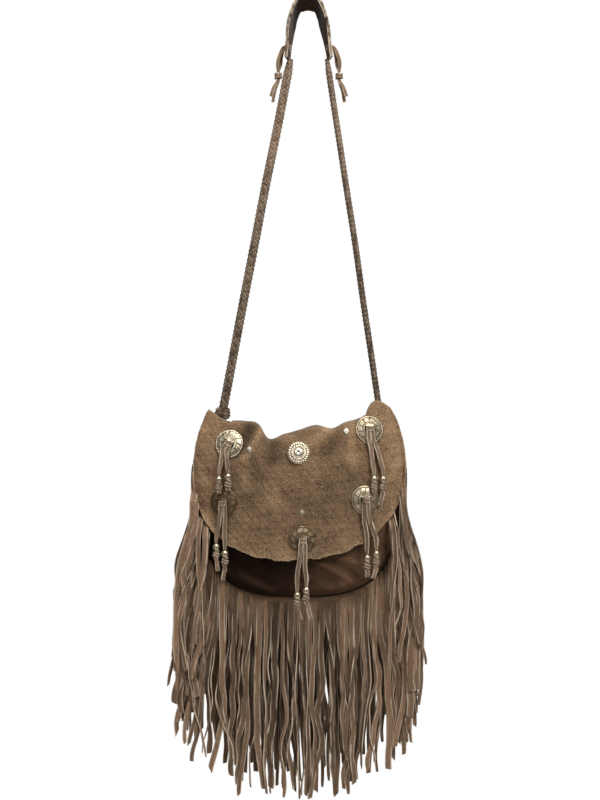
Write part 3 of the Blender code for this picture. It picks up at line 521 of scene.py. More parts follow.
class Tree:
    """Adds nodes to a node tree and joins them."""

    def __init__(self, tree: bpy.types.NodeTree) -> None:
        """Take the tree that the nodes go into."""
        self.tree = tree

    def node(self, kind: str, inputs: dict | None = None, **settings) -> bpy.types.Node:
        """Add a node, set its properties, and set or join its inputs.

        Args:
            kind: the node's type name.
            inputs: by name or number, a value to set or a socket to join from.
            settings: properties of the node.

        Returns:
            The new node.
        """
        made = self.tree.nodes.new(kind)
        for key, value in settings.items():
            setattr(made, key, value)
        self.fill(made, inputs or {})
        return made

    def fill(self, node: bpy.types.Node, inputs: dict) -> None:
        """Set or join a node's inputs: by name or number, a value or a socket."""
        for key, value in inputs.items():
            if isinstance(value, bpy.types.NodeSocket):
                self.tree.links.new(value, node.inputs[key])
            else:
                node.inputs[key].default_value = value

    def place(self) -> bpy.types.NodeSocket:
        """Add the object's own coordinates."""
        return self.node("ShaderNodeTexCoord").outputs["Object"]

    def attribute(self, name: str) -> bpy.types.NodeSocket:
        """Add the value of a mesh attribute."""
        return self.node("ShaderNodeAttribute", attribute_name=name).outputs["Fac"]

    def noise(self, vector: bpy.types.NodeSocket, scale: float, detail: float) -> bpy.types.NodeSocket:
        """Add 3-D noise and give its value."""
        made = self.node("ShaderNodeTexNoise", {"Vector": vector, "Scale": scale, "Detail": detail})
        return made.outputs[0]

    def math(self, operation: str, a, b) -> bpy.types.NodeSocket:
        """Add a calculation with two sockets or numbers and give its result."""
        return self.node("ShaderNodeMath", {0: a, 1: b}, operation=operation).outputs[0]

    def weighted(self, a, weight: float, b) -> bpy.types.NodeSocket:
        """Add a times its weight, plus b, and give the result."""
        return self.math("ADD", self.math("MULTIPLY", a, weight), b)

    def mix(self, share, a, b, how: str = "MIX") -> bpy.types.NodeSocket:
        """Add a mix of two colours.

        Args:
            share: how much of the second colour there is, a socket or a number.
            a: first colour, a socket or three numbers.
            b: second colour, a socket or three numbers.
            how: Blender's name for the way of mixing.

        Returns:
            The mixed colour's socket.
        """
        made = self.node("ShaderNodeMix", data_type="RGBA", blend_type=how)
        for socket, value in ((made.inputs[0], share), (made.inputs[6], a), (made.inputs[7], b)):
            if isinstance(value, bpy.types.NodeSocket):
                self.tree.links.new(value, socket)
            else:
                socket.default_value = value if isinstance(value, float) else (*value, 1.0)
        return made.outputs[2]

    def ramp(self, value: bpy.types.NodeSocket, low: float, high: float) -> bpy.types.NodeSocket:
        """Stretch a value so that low becomes 0 and high becomes 1, held inside that range."""
        made = self.node("ShaderNodeMapRange", {"Value": value, "From Min": low, "From Max": high})
        return made.outputs[0]


def group(name: str, inputs: dict[str, str], outputs: dict[str, str]) -> tuple[Tree, bpy.types.NodeGroup]:
    """Start a shader node group.

    Args:
        name: name of the group.
        inputs: names of its inputs, with their socket types.
        outputs: names of its outputs, with their socket types.

    Returns:
        A tree to add nodes with, and the group itself.
    """
    made = bpy.data.node_groups.new(name, "ShaderNodeTree")
    for sockets, side in ((inputs, "INPUT"), (outputs, "OUTPUT")):
        for key, kind in sockets.items():
            made.interface.new_socket(key, in_out=side, socket_type=kind)
    return Tree(made), made


def nap_group() -> bpy.types.NodeGroup:
    """Make the shared nap of suede: a mottled shade round 1 and a height for the bump.

    Patches of 10 to 30 mm where the nap was brushed one way or the other, specks of about a
    millimetre, and fibres finer than that.

    Returns:
        The group, with the strengths of patches and specks as inputs.
    """
    tree, made = group("suede nap", {"Patch": "NodeSocketFloat", "Speck": "NodeSocketFloat"},
                       {"Shade": "NodeSocketFloat", "Height": "NodeSocketFloat"})
    start = tree.node("NodeGroupInput")
    place = tree.place()
    patch, speck, fibre = (tree.math("SUBTRACT", tree.noise(place, scale, detail), 0.5)
                           for scale, detail in ((GRAIN.patch, 3.0), (GRAIN.speck, 1.0), (GRAIN.fibre, 2.0)))
    shade = tree.math("MULTIPLY", patch, start.outputs["Patch"])
    grain = tree.math("MULTIPLY", tree.weighted(fibre, GRAIN.fibre_shade, speck), start.outputs["Speck"])
    total = tree.weighted(tree.math("ADD", shade, grain), GRAIN.contrast, 1.0)
    height = tree.weighted(speck, GRAIN.speck_height, tree.math("MULTIPLY", fibre, GRAIN.fibre_height))
    tree.node("NodeGroupOutput", {"Shade": total, "Height": height})
    return made


def wear_group() -> bpy.types.NodeGroup:
    """Make the shared edge wear: a colour that turns pale, in streaks, where "rim" is high."""
    tree, made = group("cut edges", {"Colour": "NodeSocketColor", "Pale": "NodeSocketColor",
                                     "Amount": "NodeSocketFloat"}, {"Colour": "NodeSocketColor"})
    start = tree.node("NodeGroupInput")
    rim = tree.attribute("rim")
    streak = tree.node("ShaderNodeVectorMath", {0: tree.place(), 1: GRAIN.rim_stretch}, operation="MULTIPLY")
    broken = tree.ramp(tree.noise(streak.outputs[0], GRAIN.rim, 2.0), *GRAIN.rim_range)
    share = tree.math("MULTIPLY", tree.math("MULTIPLY", rim, broken), start.outputs["Amount"])
    colour = tree.mix(share, start.outputs["Colour"], start.outputs["Pale"])
    tree.node("NodeGroupOutput", {"Colour": colour})
    return made


def tarnish_group() -> bpy.types.NodeGroup:
    """Make the shared tarnish: how much of it sits at a point, which on some pieces also carries painted
    shade and painted reflection, and the dents of old plate.
    """
    tree, made = group("tarnish", {}, {"Share": "NodeSocketFloat", "Height": "NodeSocketFloat"})
    cavity, place = tree.attribute("cavity"), tree.place()
    cloud = tree.ramp(tree.noise(place, GRAIN.cloud, 4.0), *GRAIN.cloud_range)
    share = tree.node("ShaderNodeClamp", {0: tree.weighted(cloud, GRAIN.cloud_share, cavity)}).outputs[0]
    tree.node("NodeGroupOutput", {"Share": share, "Height": tree.noise(place, GRAIN.dents, 2.0)})
    return made


class Finishes:
    """Makes each material once, from the shared node groups."""

    def __init__(self) -> None:
        """Make the shared groups."""
        self.nap = nap_group()
        self.wear = wear_group()
        self.tarnish = tarnish_group()
        self.made: dict[object, bpy.types.Material] = {}

    def get(self, finish: Suede | Metal) -> bpy.types.Material:
        """Give the material of a finish."""
        if finish not in self.made:
            self.made[finish] = self.metal(finish) if isinstance(finish, Metal) else self.suede(finish)
        return self.made[finish]

    def material(self, slot: str) -> tuple[bpy.types.Material, Tree, bpy.types.Node]:
        """Start a material named after its slot, and give it with its tree and its shader."""
        material = bpy.data.materials.new(slot)
        material.use_nodes = True
        return material, Tree(material.node_tree), material.node_tree.nodes["Principled BSDF"]

    def suede(self, finish: Suede) -> bpy.types.Material:
        """Make a suede: its colour times the nap's shade and the strip's tone, pale at cut edges."""
        material, tree, shader = self.material(finish.slot)
        nap = tree.node("ShaderNodeGroup", {"Patch": finish.patch, "Speck": finish.speck}, node_tree=self.nap)
        shade = nap.outputs["Shade"]
        if finish.tone:
            drift = tree.weighted(tree.attribute("tone"), finish.tone, 1.0 - finish.tone / 2)
            shade = tree.math("MULTIPLY", shade, drift)
        grey = tree.node("ShaderNodeCombineColor", {0: shade, 1: shade, 2: shade})
        plain = tree.mix(1.0, finish.colour, grey.outputs[0], how="MULTIPLY")
        worn = tree.node("ShaderNodeGroup", {"Colour": plain, "Pale": (*finish.pale, 1.0),
                                             "Amount": finish.rim}, node_tree=self.wear)
        bump = tree.node("ShaderNodeBump", {"Height": nap.outputs["Height"], "Distance": finish.bump,
                                            "Strength": finish.bump_strength})
        tree.fill(shader, {"Base Color": worn.outputs[0], "Normal": bump.outputs[0],
                           "Roughness": finish.roughness, "Specular IOR Level": finish.specular,
                           "Sheen Weight": finish.sheen, "Sheen Roughness": finish.sheen_roughness})
        return material

    def metal(self, finish: Metal) -> bpy.types.Material:
        """Make a metal: bright where the tarnish share is low, dark and dull where tarnish or painted shade
        sits.
        """
        material, tree, shader = self.material(finish.slot)
        tarnish = tree.node("ShaderNodeGroup", node_tree=self.tarnish)
        share = tarnish.outputs["Share"]
        bump = tree.node("ShaderNodeBump", {"Height": tarnish.outputs["Height"], "Distance": finish.bump,
                                            "Strength": finish.bump_strength})
        tree.fill(shader, {"Base Color": tree.mix(share, finish.colour, finish.tarnish),
                           "Roughness": tree.weighted(share, finish.rougher, finish.roughness),
                           "Normal": bump.outputs[0], "Metallic": finish.metallic})
        return material


# Pouch


@dataclass(frozen=True)
class Pouch:
    """Sizes and surfaces of the pouch and of the flap that hangs over it.

    A row of ridge is a share of the half width and the drop of the top edge there. A row of folds
    is a fold's place and width, as shares of the half width, and its height, drop and tallness.
    A row of creases is as crease_height reads it. Drops, heights and tallness are in millimetres.
    """

    middle_x: float = -10.0 * MM
    half: float = 113.0 * MM
    top_half: float = 94.0 * MM
    middle_z: float = -521.6 * MM
    deep: float = 138.0 * MM
    power: float = 3.0
    front_bulge: float = 24.0 * MM
    back_bulge: float = 11.0 * MM
    mouth_side_z: float = -483.5 * MM
    mouth_dip: float = 38.0 * MM
    seam_y: float = 2.0 * MM
    front_seam_y: float = -2.0 * MM
    flap_half: float = 115.6 * MM
    flap_top_left: float = 94.0 * MM
    flap_top_right: float = 97.0 * MM
    flap_deep: float = 96.0 * MM
    flap_power: float = 2.25
    flap_tilt: float = 0.045
    cling: float = 52.0 * MM
    over: float = 2.4 * MM
    hinge_z: float = -445.5 * MM
    roll_rise: float = 9.0 * MM
    roll_end: float = 0.8 * math.pi
    ear_inner: float = 0.69
    ear_turn: float = 0.48
    suede: float = 1.5 * MM
    front_round: float = 0.8
    back_round: float = 0.5
    slack: float = 0.25
    steepest: float = 4.0
    stand: float = 0.6 * MM
    probe: float = 4.0 * MM
    ridge: tuple = ((-1.00, 9.0), (-0.71, 22.6), (-0.56, 23.5), (-0.40, 28.5), (-0.32, 41.0), (-0.14, 37.5),
                    (0.01, 33.0), (0.17, 28.0), (0.34, 31.4), (0.47, 25.0), (0.61, 21.0), (0.69, 17.0),
                    (0.76, 7.0), (0.84, 0.5), (0.92, 0.5), (1.00, 8.0))
    folds: tuple = ((-0.43, 0.055, 3.4, 34.0, 26.0), (0.30, 0.10, 1.4, 45.0, 40.0),
                    (-0.75, 0.10, 1.2, 60.0, 40.0))
    creases: tuple = ((-39.0, -477.0, -60.0, -512.0, 3.2, 3.8), (-53.0, -476.0, -70.0, -502.0, -1.3, 8.0),
                      (-60.0, -512.0, -58.0, -545.0, 1.0, 6.0), (-28.0, -492.0, -30.0, -512.0, -1.0, 7.0),
                      (-20.0, -485.0, -8.0, -488.0, 1.2, 6.0), (30.0, -478.0, 8.0, -500.0, 1.5, 7.0),
                      (40.0, -486.0, 30.0, -506.0, -0.9, 7.0), (56.0, -470.0, 58.0, -515.0, 1.3, 6.0),
                      (20.0, -520.0, -30.0, -550.0, 1.0, 14.0))

    def side_half(self, z: Array, half: float, top_half: float) -> Array:
        """Half width at height z: full at the middle, drawn in as the square of the rise above it."""
        rise = np.clip((z - self.middle_z) / (self.hinge_z - self.middle_z), 0.0, None)
        return half - (half - top_half) * rise**2

    def seam_drop(self, u: Array, deep: float, power: float) -> Array:
        """Depth of a superellipse below the middle at share u of its half width."""
        return deep * np.maximum(1.0 - np.abs(u) ** power, 0.0) ** (1.0 / power)

    def fullness(self, x: Array, z: Array, cling: float) -> Array:
        """0 at the seam and 1 in the middle: one less the powers of both shares, slacker at the top."""
        share = np.abs(x) / self.side_half(z, self.half, self.top_half)
        below = np.clip(self.middle_z - z, 0.0, cling) / self.deep
        rise = np.clip((z - self.middle_z) / (self.hinge_z - self.middle_z), 0.0, 1.0)
        round_off = np.maximum(1.0 - share**self.power - below**self.power, 0.0) ** self.front_round
        return round_off * (self.slack + (1 - self.slack) * np.cos(rise * math.pi / 2))

    def front_y(self, x: Array, z: Array, cling: float | None = None) -> Array:
        """Mid surface of the front panel, in Y: the seam's plane less the bulge times the fullness."""
        return self.front_seam_y - self.front_bulge * self.fullness(x, z, cling or self.deep)

    def back_y(self, x: Array, z: Array) -> Array:
        """Mid surface of the back panel, in Y: a shallow ellipsoid behind the seam."""
        share = np.abs(x) / self.side_half(z, self.half, self.top_half)
        below = np.clip(self.middle_z - z, 0.0, self.deep) / self.deep
        round_off = np.maximum(1.0 - share**self.power - below**self.power, 0.0) ** self.back_round
        return self.seam_y + self.back_bulge * round_off

    def flap_y(self, x: Array, z: Array) -> Array:
        """Mid surface of the flap's front, in Y: the front panel's, one leather further out, and folds."""
        y = self.front_y(x, z, self.cling)
        slope_x = (self.front_y(x + MM, z, self.cling) - y) / MM
        slope_z = (self.front_y(x, z + MM, self.cling) - y) / MM
        y = y - self.over * np.sqrt(1 + np.minimum(slope_x**2 + slope_z**2, self.steepest))
        share = x / self.flap_half
        for place, width, height, deep, tall in self.folds:
            down = bell(self.hinge_z - deep * MM, z, tall * MM)
            y = y - height * MM * bell(share, place, width) * down
        return y

    def ridge_z(self, u: Array) -> Array:
        """Height of the rolled top edge at share u of the half width."""
        return self.hinge_z - curve_through(np.array(self.ridge), u)[..., 0] * MM

    def flap_bottom(self, u: Array) -> Array:
        """Height of the flap's lower edge: a superellipse, a little lower on the left."""
        level = self.middle_z - self.seam_drop(u, self.flap_deep, self.flap_power)
        return level + self.flap_tilt * u * self.flap_half

    def flap_frame(self, across: float, height: float, turn: float = 0.0) -> tuple[Array, ...]:
        """Find where a piece sits on the flap's outer face, above any crease there.

        Args:
            across: distance from the pouch's middle.
            height: height of the place.
            turn: turn of the piece about the way it faces, in degrees.

        Returns:
            The point, and the directions to the right, up and outwards.
        """
        step = self.probe
        slope_x = (self.flap_y(across + step, height) - self.flap_y(across - step, height)) / (2 * step)
        slope_z = (self.flap_y(across, height + step) - self.flap_y(across, height - step)) / (2 * step)
        outward = unit([float(slope_x), -1.0, float(slope_z)])
        right = unit(np.cross([0.0, 0.0, 1.0], outward))
        up = np.cross(outward, right)
        cos, sin = math.cos(math.radians(turn)), math.sin(math.radians(turn))
        right, up = right * cos + up * sin, up * cos - right * sin
        middle = np.array([across + self.middle_x, float(self.flap_y(across, height)), height])
        relief = float(crease_height(np.array(across), np.array(height), self.creases))
        return middle + outward * (self.suede / 2 + self.stand + max(relief, 0.0)), right, up, outward


@dataclass(frozen=True)
class Leather:
    """The long leather that is the back of the pouch, rolls over its top and falls as the flap."""

    pouch: Pouch
    columns: int = 220
    back_rows: int = 40
    roll_rows: int = 26
    front_rows: int = 150
    ragged: float = 0.8 * MM
    dent: float = 0.8 * MM
    lip: float = 2.4 * MM
    fuller: float = 1.4 * MM
    lip_tall: float = 5.0 * MM
    fray: float = 0.35 * MM
    crowd: float = 1.1
    # Painted light: tone, tone_right and tone_left make the flap lighter towards both sides, tone_low makes
    # it lighter low on its front, and crease_shade gives crease ridges a painted highlight and crease hollows
    # painted shade
    crease_shade: float = 0.36
    tone: float = 0.45
    tone_right: float = 0.60
    tone_left: float = 0.65
    tone_low: float = 0.16

    def grid(self) -> tuple[Array, Array]:
        """Work out the mid surface and which of its cells there are.

        The back rises from the U seam to the roll. The roll is a half ellipse from the back's
        surface to the flap's. The front falls to the lower edge, which is slightly ragged and
        stands off a little. At the two ears the roll is open for the straps.

        Returns:
            The points, rows by columns by 3, and the cells that are leather.
        """
        p = self.pouch
        even = np.linspace(-1.0, 1.0, self.columns + 1)
        u = eased(even, 0.4)
        ridge = p.ridge_z(u)
        centre_z = ridge - p.roll_rise
        bottom = p.middle_z - p.seam_drop(u, p.deep, p.power)
        t = np.linspace(0.0, 1.0, self.back_rows)[:, None]
        z = bottom * (1 - t) + centre_z * t
        x = u * p.side_half(z, p.half, p.top_half)
        back = np.stack([x, p.back_y(x, z) + self.dent * 0.6 * ripple(x, z, 0.05, SEED + 4), z], axis=-1)
        x_back, y_back = x[-1], back[-1, :, 1]
        sides = np.where(u < 0, p.flap_top_left, p.flap_top_right)
        x_top = u * p.side_half(ridge, p.flap_half, sides)
        start_z = centre_z + p.roll_rise * math.sin(p.roll_end)
        y_front = p.flap_y(x_top, start_z)
        reach = (y_back - y_front) / (1.0 - math.cos(p.roll_end))
        angle = np.linspace(0.0, p.roll_end, self.roll_rows + 1)[1:-1, None]
        x = x_back + (x_top - x_back) * angle / p.roll_end
        roll = np.stack([x, y_back - reach + reach * np.cos(angle), centre_z + p.roll_rise * np.sin(angle)],
                        axis=-1)
        lower = p.flap_bottom(u) + self.ragged * ripple(u * p.flap_half, 0 * u, 0.014, SEED + 1)
        lower = lower + self.fray * ripple(u * p.flap_half, 0 * u, 0.004, SEED + 6)
        t = np.linspace(0.0, 1.0, self.front_rows)[:, None] ** self.crowd
        z = start_z * (1 - t) + lower * t
        x = u * p.side_half(z, p.flap_half, sides)
        x = x + self.fuller * smooth_step(u, 0.55, 1.0) * smooth_step(t, 0.0, 0.15)
        y = p.flap_y(x, z)
        y = y - crease_height(x, z, p.creases)
        rough = ripple(x, z, 0.030, SEED) + 0.5 * ripple(x, z, 0.011, SEED + 2)
        y = y - self.dent * smooth_step(t, 0.0, 0.2) * (rough + 0.6)
        y = y - self.lip * np.exp(-(z - lower) / self.lip_tall) * (1 + 0.6 * ripple(x, 0 * z, 0.04, SEED + 3))
        front = np.stack([x, y, z], axis=-1)
        grid = np.concatenate([back, roll, front])
        grid[..., 0] += p.middle_x
        rows = grid.shape[0] - 1
        keep = np.ones((rows, self.columns), bool)
        ear = np.abs((u[1:] + u[:-1]) / 2) > p.ear_inner
        turn = np.arange(self.roll_rows) / self.roll_rows * p.roll_end
        opened = turn < p.roll_end - p.ear_turn
        keep[self.back_rows - 1:self.back_rows - 1 + self.roll_rows] = ~(opened[:, None] & ear[None, :])
        return grid, keep

    def make(self, finishes: Finishes) -> list[bpy.types.Object]:
        """Build the leather, from the back of the pouch over the roll to the flap."""
        grid, keep = self.grid()
        shape = sheet_shape(grid, self.pouch.suede, keep)
        share = (shape.verts[:, 0] - self.pouch.middle_x) / self.pouch.flap_half
        # Painted light: lighter towards both sides of the flap, and lighter low on its front
        tone = (self.tone + self.tone_right * smooth_step(share, 0.5, 0.95)
                + self.tone_left * smooth_step(-share, 0.5, 0.95))
        in_front = shape.verts[:, 1] < 0.0
        tone = tone + self.tone_low * smooth_step(-shape.verts[:, 2], 0.55, 0.60) * in_front
        across = shape.verts[:, 0] - self.pouch.middle_x
        # Painted light: crease ridges get a painted highlight and crease hollows painted shade
        crease_relief = crease_height(across, shape.verts[:, 2], self.pouch.creases) * in_front
        shape.values["tone"] = tone + self.crease_shade * np.clip(crease_relief / MM, -2.0, 2.0)
        thing = build("leather", shape, finishes.get(SUEDE), 60)
        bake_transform(thing)
        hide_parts("back_panel", "flap")
        return [thing]


@dataclass(frozen=True)
class FrontPanel:
    """The panel behind the flap, sewn along the U seam, coloured dark as painted shade under the flap.

    A row of folds is a fold's place and width, as shares of the half width, and its height and
    tallness in millimetres. A row of creases is as crease_height reads it.
    """

    pouch: Pouch
    columns: int = 170
    rows: int = 120
    creases: tuple = ((22.0, -622.0, 58.0, -643.0, 2.4, 3.4), (48.0, -616.0, 86.0, -634.0, 2.2, 3.4),
                      (38.0, -620.0, 70.0, -642.0, -1.8, 3.2), (-62.0, -636.0, -28.0, -655.0, 1.4, 4.0),
                      (2.0, -632.0, 34.0, -652.0, 1.0, 4.0), (70.0, -632.0, 92.0, -612.0, 1.2, 4.0))
    puff: float = 2.6 * MM
    puff_up: float = 7.0 * MM
    folds: tuple = ((0.30, 0.05, 3.0, 28.0), (0.46, 0.05, 2.6, 36.0), (0.63, 0.045, 2.0, 24.0),
                    (-0.22, 0.08, 1.6, 40.0), (-0.55, 0.05, 1.8, 30.0))
    fold_lean: float = 0.12
    unrest: float = 0.5 * MM
    # Painted light: the tone rises towards the right, away from the flap's shadow, and crease_shade gives
    # crease ridges a painted highlight and crease hollows painted shade
    tone: float = 0.20
    tone_right: float = 1.25
    crease_shade: float = 0.16

    def make(self, finishes: Finishes) -> list[bpy.types.Object]:
        """Build the panel: the front surface with soft folds that run down into the seam."""
        p = self.pouch
        u = eased(np.linspace(-1.0, 1.0, self.columns + 1), 0.5)
        bottom = p.middle_z - p.seam_drop(u, p.deep, p.power)
        mouth = p.mouth_side_z - p.mouth_dip * (1 - u**2)
        t = np.linspace(0.0, 1.0, self.rows + 1)[:, None]
        z = mouth * (1 - t) + bottom * t
        x = u * p.side_half(z, p.half, p.top_half)
        y = p.front_y(x, z)
        above = z - bottom
        for place, width, height, tall in self.folds:
            fold = bell(u, place + self.fold_lean * t * np.sign(place), width) * bell(above, 0.0, tall * MM)
            y = y - height * MM * fold * smooth_step(above, 0.0, 8 * MM)
        y = y - self.unrest * ripple(x, z, 0.028, SEED + 7) * smooth_step(above, 0.0, 10 * MM)
        y = y - crease_height(x, z, self.creases)
        y = y - self.puff * bell(above, self.puff_up, 0.7 * self.puff_up)
        grid = np.stack([x + p.middle_x, y, z], axis=-1)
        shape = sheet_shape(grid, p.suede)
        across = shape.verts[:, 0] - p.middle_x
        crease_relief = crease_height(across, shape.verts[:, 2], self.creases) / MM
        # Painted light: lighter towards the right, away from the flap's shadow; crease ridges lighter and
        # hollows darker
        lighter = self.tone_right * smooth_step(across, -40 * MM, 75 * MM)
        shape.values["tone"] = self.tone + lighter + self.crease_shade * crease_relief
        thing = build("front_leather", shape, finishes.get(SHADOWED_SUEDE), 60)
        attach(thing, Body.BAG.value)
        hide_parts("front_panel")
        return [thing]


@dataclass(frozen=True)
class Stray:
    """How far single strands stray from an even fringe; lengths are in millimetres.

    Pairs are the two ends of a range. A value that calm lowers is multiplied by one less that
    share of the comb's calm.
    """

    cut_up: Pair = (-2.5, -0.3)
    crowd: float = 1.15
    length: float = 2.6
    shorter_power: float = 1.6
    turn_down: float = 7.0
    lean: float = 5.0
    lean_out: float = 0.25
    lean_up: float = 0.30
    left_fold: float = 0.6
    fold_odds: float = 0.85
    fold_splay: float = 0.3
    fold_range: Pair = (3.0, 34.0)
    splay_range: Pair = (42.0, 128.0)
    splay_spread: float = 0.5
    splay_calm: float = 0.8
    turns: Pair = (0.8, 2.6)
    wave: Pair = (2.2, 1.15)
    wave_most: float = 5.0
    wave_calm: float = 0.65
    wave_side: float = 0.35
    grow: Pair = (0.05, 0.55)
    drift: float = 1.6
    drift_calm: float = 0.7
    quick: Pair = (2.8, 5.5)
    quick_size: Pair = (0.2, 1.2)
    quick_calm: float = 0.5
    clump_wave: float = 0.030
    clump_calm: float = 0.7
    hook_odds: Pair = (0.24, 0.36)
    hook: float = 8.0
    hook_most: float = 9.0
    hook_side: float = 0.5
    hook_from: float = 0.70
    shift: float = 0.9
    shift_range: Pair = (4.0, 40.0)
    rank_lift: float = 1.3
    wave_out: float = 0.8
    turned: float = 0.75
    turned_calm: float = 0.6
    rolled_odds: float = 0.26
    rolled: float = 1.6
    twist: float = 0.3
    breadth: Pair = (0.92, 1.12)
    breadth_most: float = 9.0
    breadth_end: float = 0.45
    tip_narrow: float = 0.35
    curl: float = 0.10
    slant: float = 0.55
    tones: Pair = (-0.15, 1.15)
    tone_side: float = 0.5
    tone_dim: float = 0.6
    tone_tip: float = 0.28
    tip_from: float = 0.3


@dataclass(frozen=True)
class Waves:
    """Four waves for each strand: across, outwards, in its twist, and a quick small one."""

    phase: Array
    turns: Array
    size: Array

    @staticmethod
    def drawn(draw: Draw, stray: Stray, calm: float, sideways: Array) -> "Waves":
        """Draw the waves at random, smaller on a calm comb and at the sides.

        Args:
            draw: random numbers.
            stray: how far strands stray.
            calm: the comb's calm.
            sideways: how far the seam faces sideways at each strand, from 0 to 1.

        Returns:
            The waves of all strands.
        """
        each = (4, len(sideways), 1)
        phase = draw.uniform(0.0, TURN, each)
        turns = draw.uniform(*stray.turns, each)
        size = draw.gamma(*stray.wave, each) * MM * (1 - stray.wave_calm * calm)
        size = np.minimum(size, stray.wave_most * MM) * (1 - stray.wave_side * sideways[:, None])
        return Waves(phase, turns, size)

    def angle(self, number: int, t: Array) -> Array:
        """Angle of one of the waves at share t of the strands' lengths."""
        return TURN * self.turns[number] * t + self.phase[number]


@dataclass(frozen=True)
class Comb:
    """One comb of fringe: an uncut header sewn in the seam and the strands cut below it."""

    pouch: Pouch
    name: str
    node: str
    header_y: float
    facing: int
    stray: Stray = Stray()
    pitch: float = 5.4 * MM
    side_pitch: float = 6.0 * MM
    share: float = 0.98
    thick: float = 1.0 * MM
    header_in: float = 3.5 * MM
    header_side: float = 0.8 * MM
    header_bottom: float = 9.0 * MM
    top_z: float = -513.0 * MM
    length: float = 212.0 * MM
    splay: float = 19.0 * MM
    clump: float = 5.2 * MM
    fold_in: float = 0.0
    fold_high: float = 20.0 * MM
    layers: int = 1
    settle: float = 22.0 * MM
    uneven: float = 9.0 * MM
    ragged: float = 24.0 * MM
    narrow: float = 0.06
    calm: float = 0.0
    # dim is painted shade: how much darker a layer is, on its strands, its header and one face of each strand
    dim: float = 0.0
    spread: float = 3.0 * MM
    lap: float = 0.75 * MM
    fade: float = 34.0 * MM
    clear_panel: float = 1.2 * MM
    clear_flap: float = 1.6 * MM
    free_below: Pair = (-1.0, 14.0)
    free_beside: Pair = (-2.0, 5.0)
    cut_spread: float = 0.28
    bow: float = 0.5 * MM
    header_tone: float = 0.45
    seam_shadow: float = 1.7
    seam_shade: float = 2.6 * MM
    seed: int = 0
    steps: int = 54

    def seam(self, count: int = 1200) -> tuple[Array, Array, Array]:
        """Follow the U seam from the left top to the right top: both sides and a superellipse below.

        Args:
            count: how many points the lower part has.

        Returns:
            Points, tangents and outward normals, in X and Z.
        """
        p = self.pouch
        side_z = np.linspace(self.top_z, p.middle_z, count // 4, endpoint=False)
        side_x = p.side_half(side_z, p.half, p.top_half)
        u = eased(np.linspace(-1.0, 1.0, count + 1), 0.55)
        low = np.stack([u * p.half, p.middle_z - p.seam_drop(u, p.deep, p.power)], axis=-1)
        curve = np.concatenate([np.stack([-side_x, side_z], axis=-1), low,
                                np.stack([side_x, side_z], axis=-1)[::-1]])
        tangent = unit(np.gradient(curve, axis=0))
        return curve, tangent, np.stack([tangent[:, 1], -tangent[:, 0]], axis=-1)

    def leant(self, fall: Array) -> Array:
        """How far a strand has leaned out of the seam: it nears the full lean as it falls."""
        lean = self.stray.lean * MM
        return lean * (1 - np.exp(-fall / lean))

    def header_out(self, sideways: Array) -> Array:
        """How far the header reaches past the seam: little where the seam faces sideways."""
        return self.header_bottom + (self.header_side - self.header_bottom) * sideways

    def places(self, tier: int) -> tuple[Array, Array, Array, Array]:
        """Share the seam out between the strands, a little unevenly.

        Args:
            tier: which layer of the comb; each is offset by half a strand from the one before.

        Returns:
            Place, tangent and outward normal of each strand's middle, and its width.
        """
        curve, tangent, outward = self.seam()
        steps = np.linalg.norm(np.diff(curve, axis=0), axis=1)
        length = np.concatenate([[0.0], np.cumsum(steps)])
        weight = tangent[:, 0] ** 2
        pitch = self.side_pitch * (1 - weight) + self.pitch * weight
        number = np.concatenate([[0.0], np.cumsum(steps / ((pitch[1:] + pitch[:-1]) / 2))])
        strands = int(number[-1])
        number *= strands / number[-1]
        draw = np.random.default_rng(SEED + self.seed + 7 * tier)
        shifts = draw.uniform(-self.cut_spread, self.cut_spread, strands - 1)
        cuts = np.arange(strands + 1) + np.concatenate([[0], shifts, [0]])
        at = np.interp(np.clip(cuts + 0.5 * tier, 0, strands), number, length)
        middle = (at[1:] + at[:-1]) / 2
        read = [np.stack([np.interp(middle, length, a[:, k]) for k in (0, 1)], axis=-1)
                for a in (curve, tangent, outward)]
        return read[0], unit(read[1]), unit(read[2]), np.diff(at) * self.share

    def header(self) -> Shape:
        """Make the uncut strip, with painted shadow along its seam under the panel's edge: the seam's curve
        moved in and out along its normal.
        """
        curve, _, outward = self.seam(420)
        out = self.header_out(np.abs(outward[:, 0]))
        rows = np.linspace(0.0, 1.0, 7)[:, None, None]
        xz = curve + outward * (-self.header_in + (out[:, None] + self.header_in) * rows)
        bow = self.bow * ripple(xz[..., 0], xz[..., 1], 0.03, SEED + self.seed + 5)
        y = self.header_y + self.facing * rows[..., 0] * bow
        grid = np.stack([xz[..., 0] + self.pouch.middle_x, y, xz[..., 1]], axis=-1)
        made = sheet_shape(grid, self.thick)
        made.values["rim"] = np.zeros(len(made.verts))
        row = np.abs(made.verts[:, None, [0, 2]] - (curve + [self.pouch.middle_x, 0.0])[None, ::3])
        away = np.hypot(row[..., 0], row[..., 1]).min(axis=1)
        # Painted shadow: the header darkens towards the seam, under the panel's edge, and the rear comb's dim
        # lowers it as painted shade
        shade = self.seam_shadow * bell(away, 0.0, self.seam_shade)
        made.values["tone"] = self.header_tone - self.dim * 0.5 - shade
        return made

    def between(self, x: Array, y: Array, z: Array) -> Array:
        """Keep strands in front of the panel and, as far down as the flap reaches, behind the flap.

        Args:
            x: distance of the points from the pouch's middle.
            y: their depths.
            z: their heights.

        Returns:
            The depths, held between both leathers and let free within a few millimetres below
            the flap's edge.
        """
        p = self.pouch
        over_panel = p.fullness(x, z, p.deep) > 0.01
        y = np.where(over_panel, np.minimum(y, p.front_y(x, z) - self.clear_panel), y)
        half = p.side_half(z, p.flap_half, p.flap_top_right)
        edge = p.flap_bottom(np.clip(x / p.flap_half, -1.0, 1.0))
        free = np.maximum(ramp_mm(edge - z, self.free_below), ramp_mm(np.abs(x) - half, self.free_beside))
        behind = np.maximum(y, p.flap_y(x, np.maximum(z, edge)) + self.clear_flap)
        return behind * (1 - free) + y * free

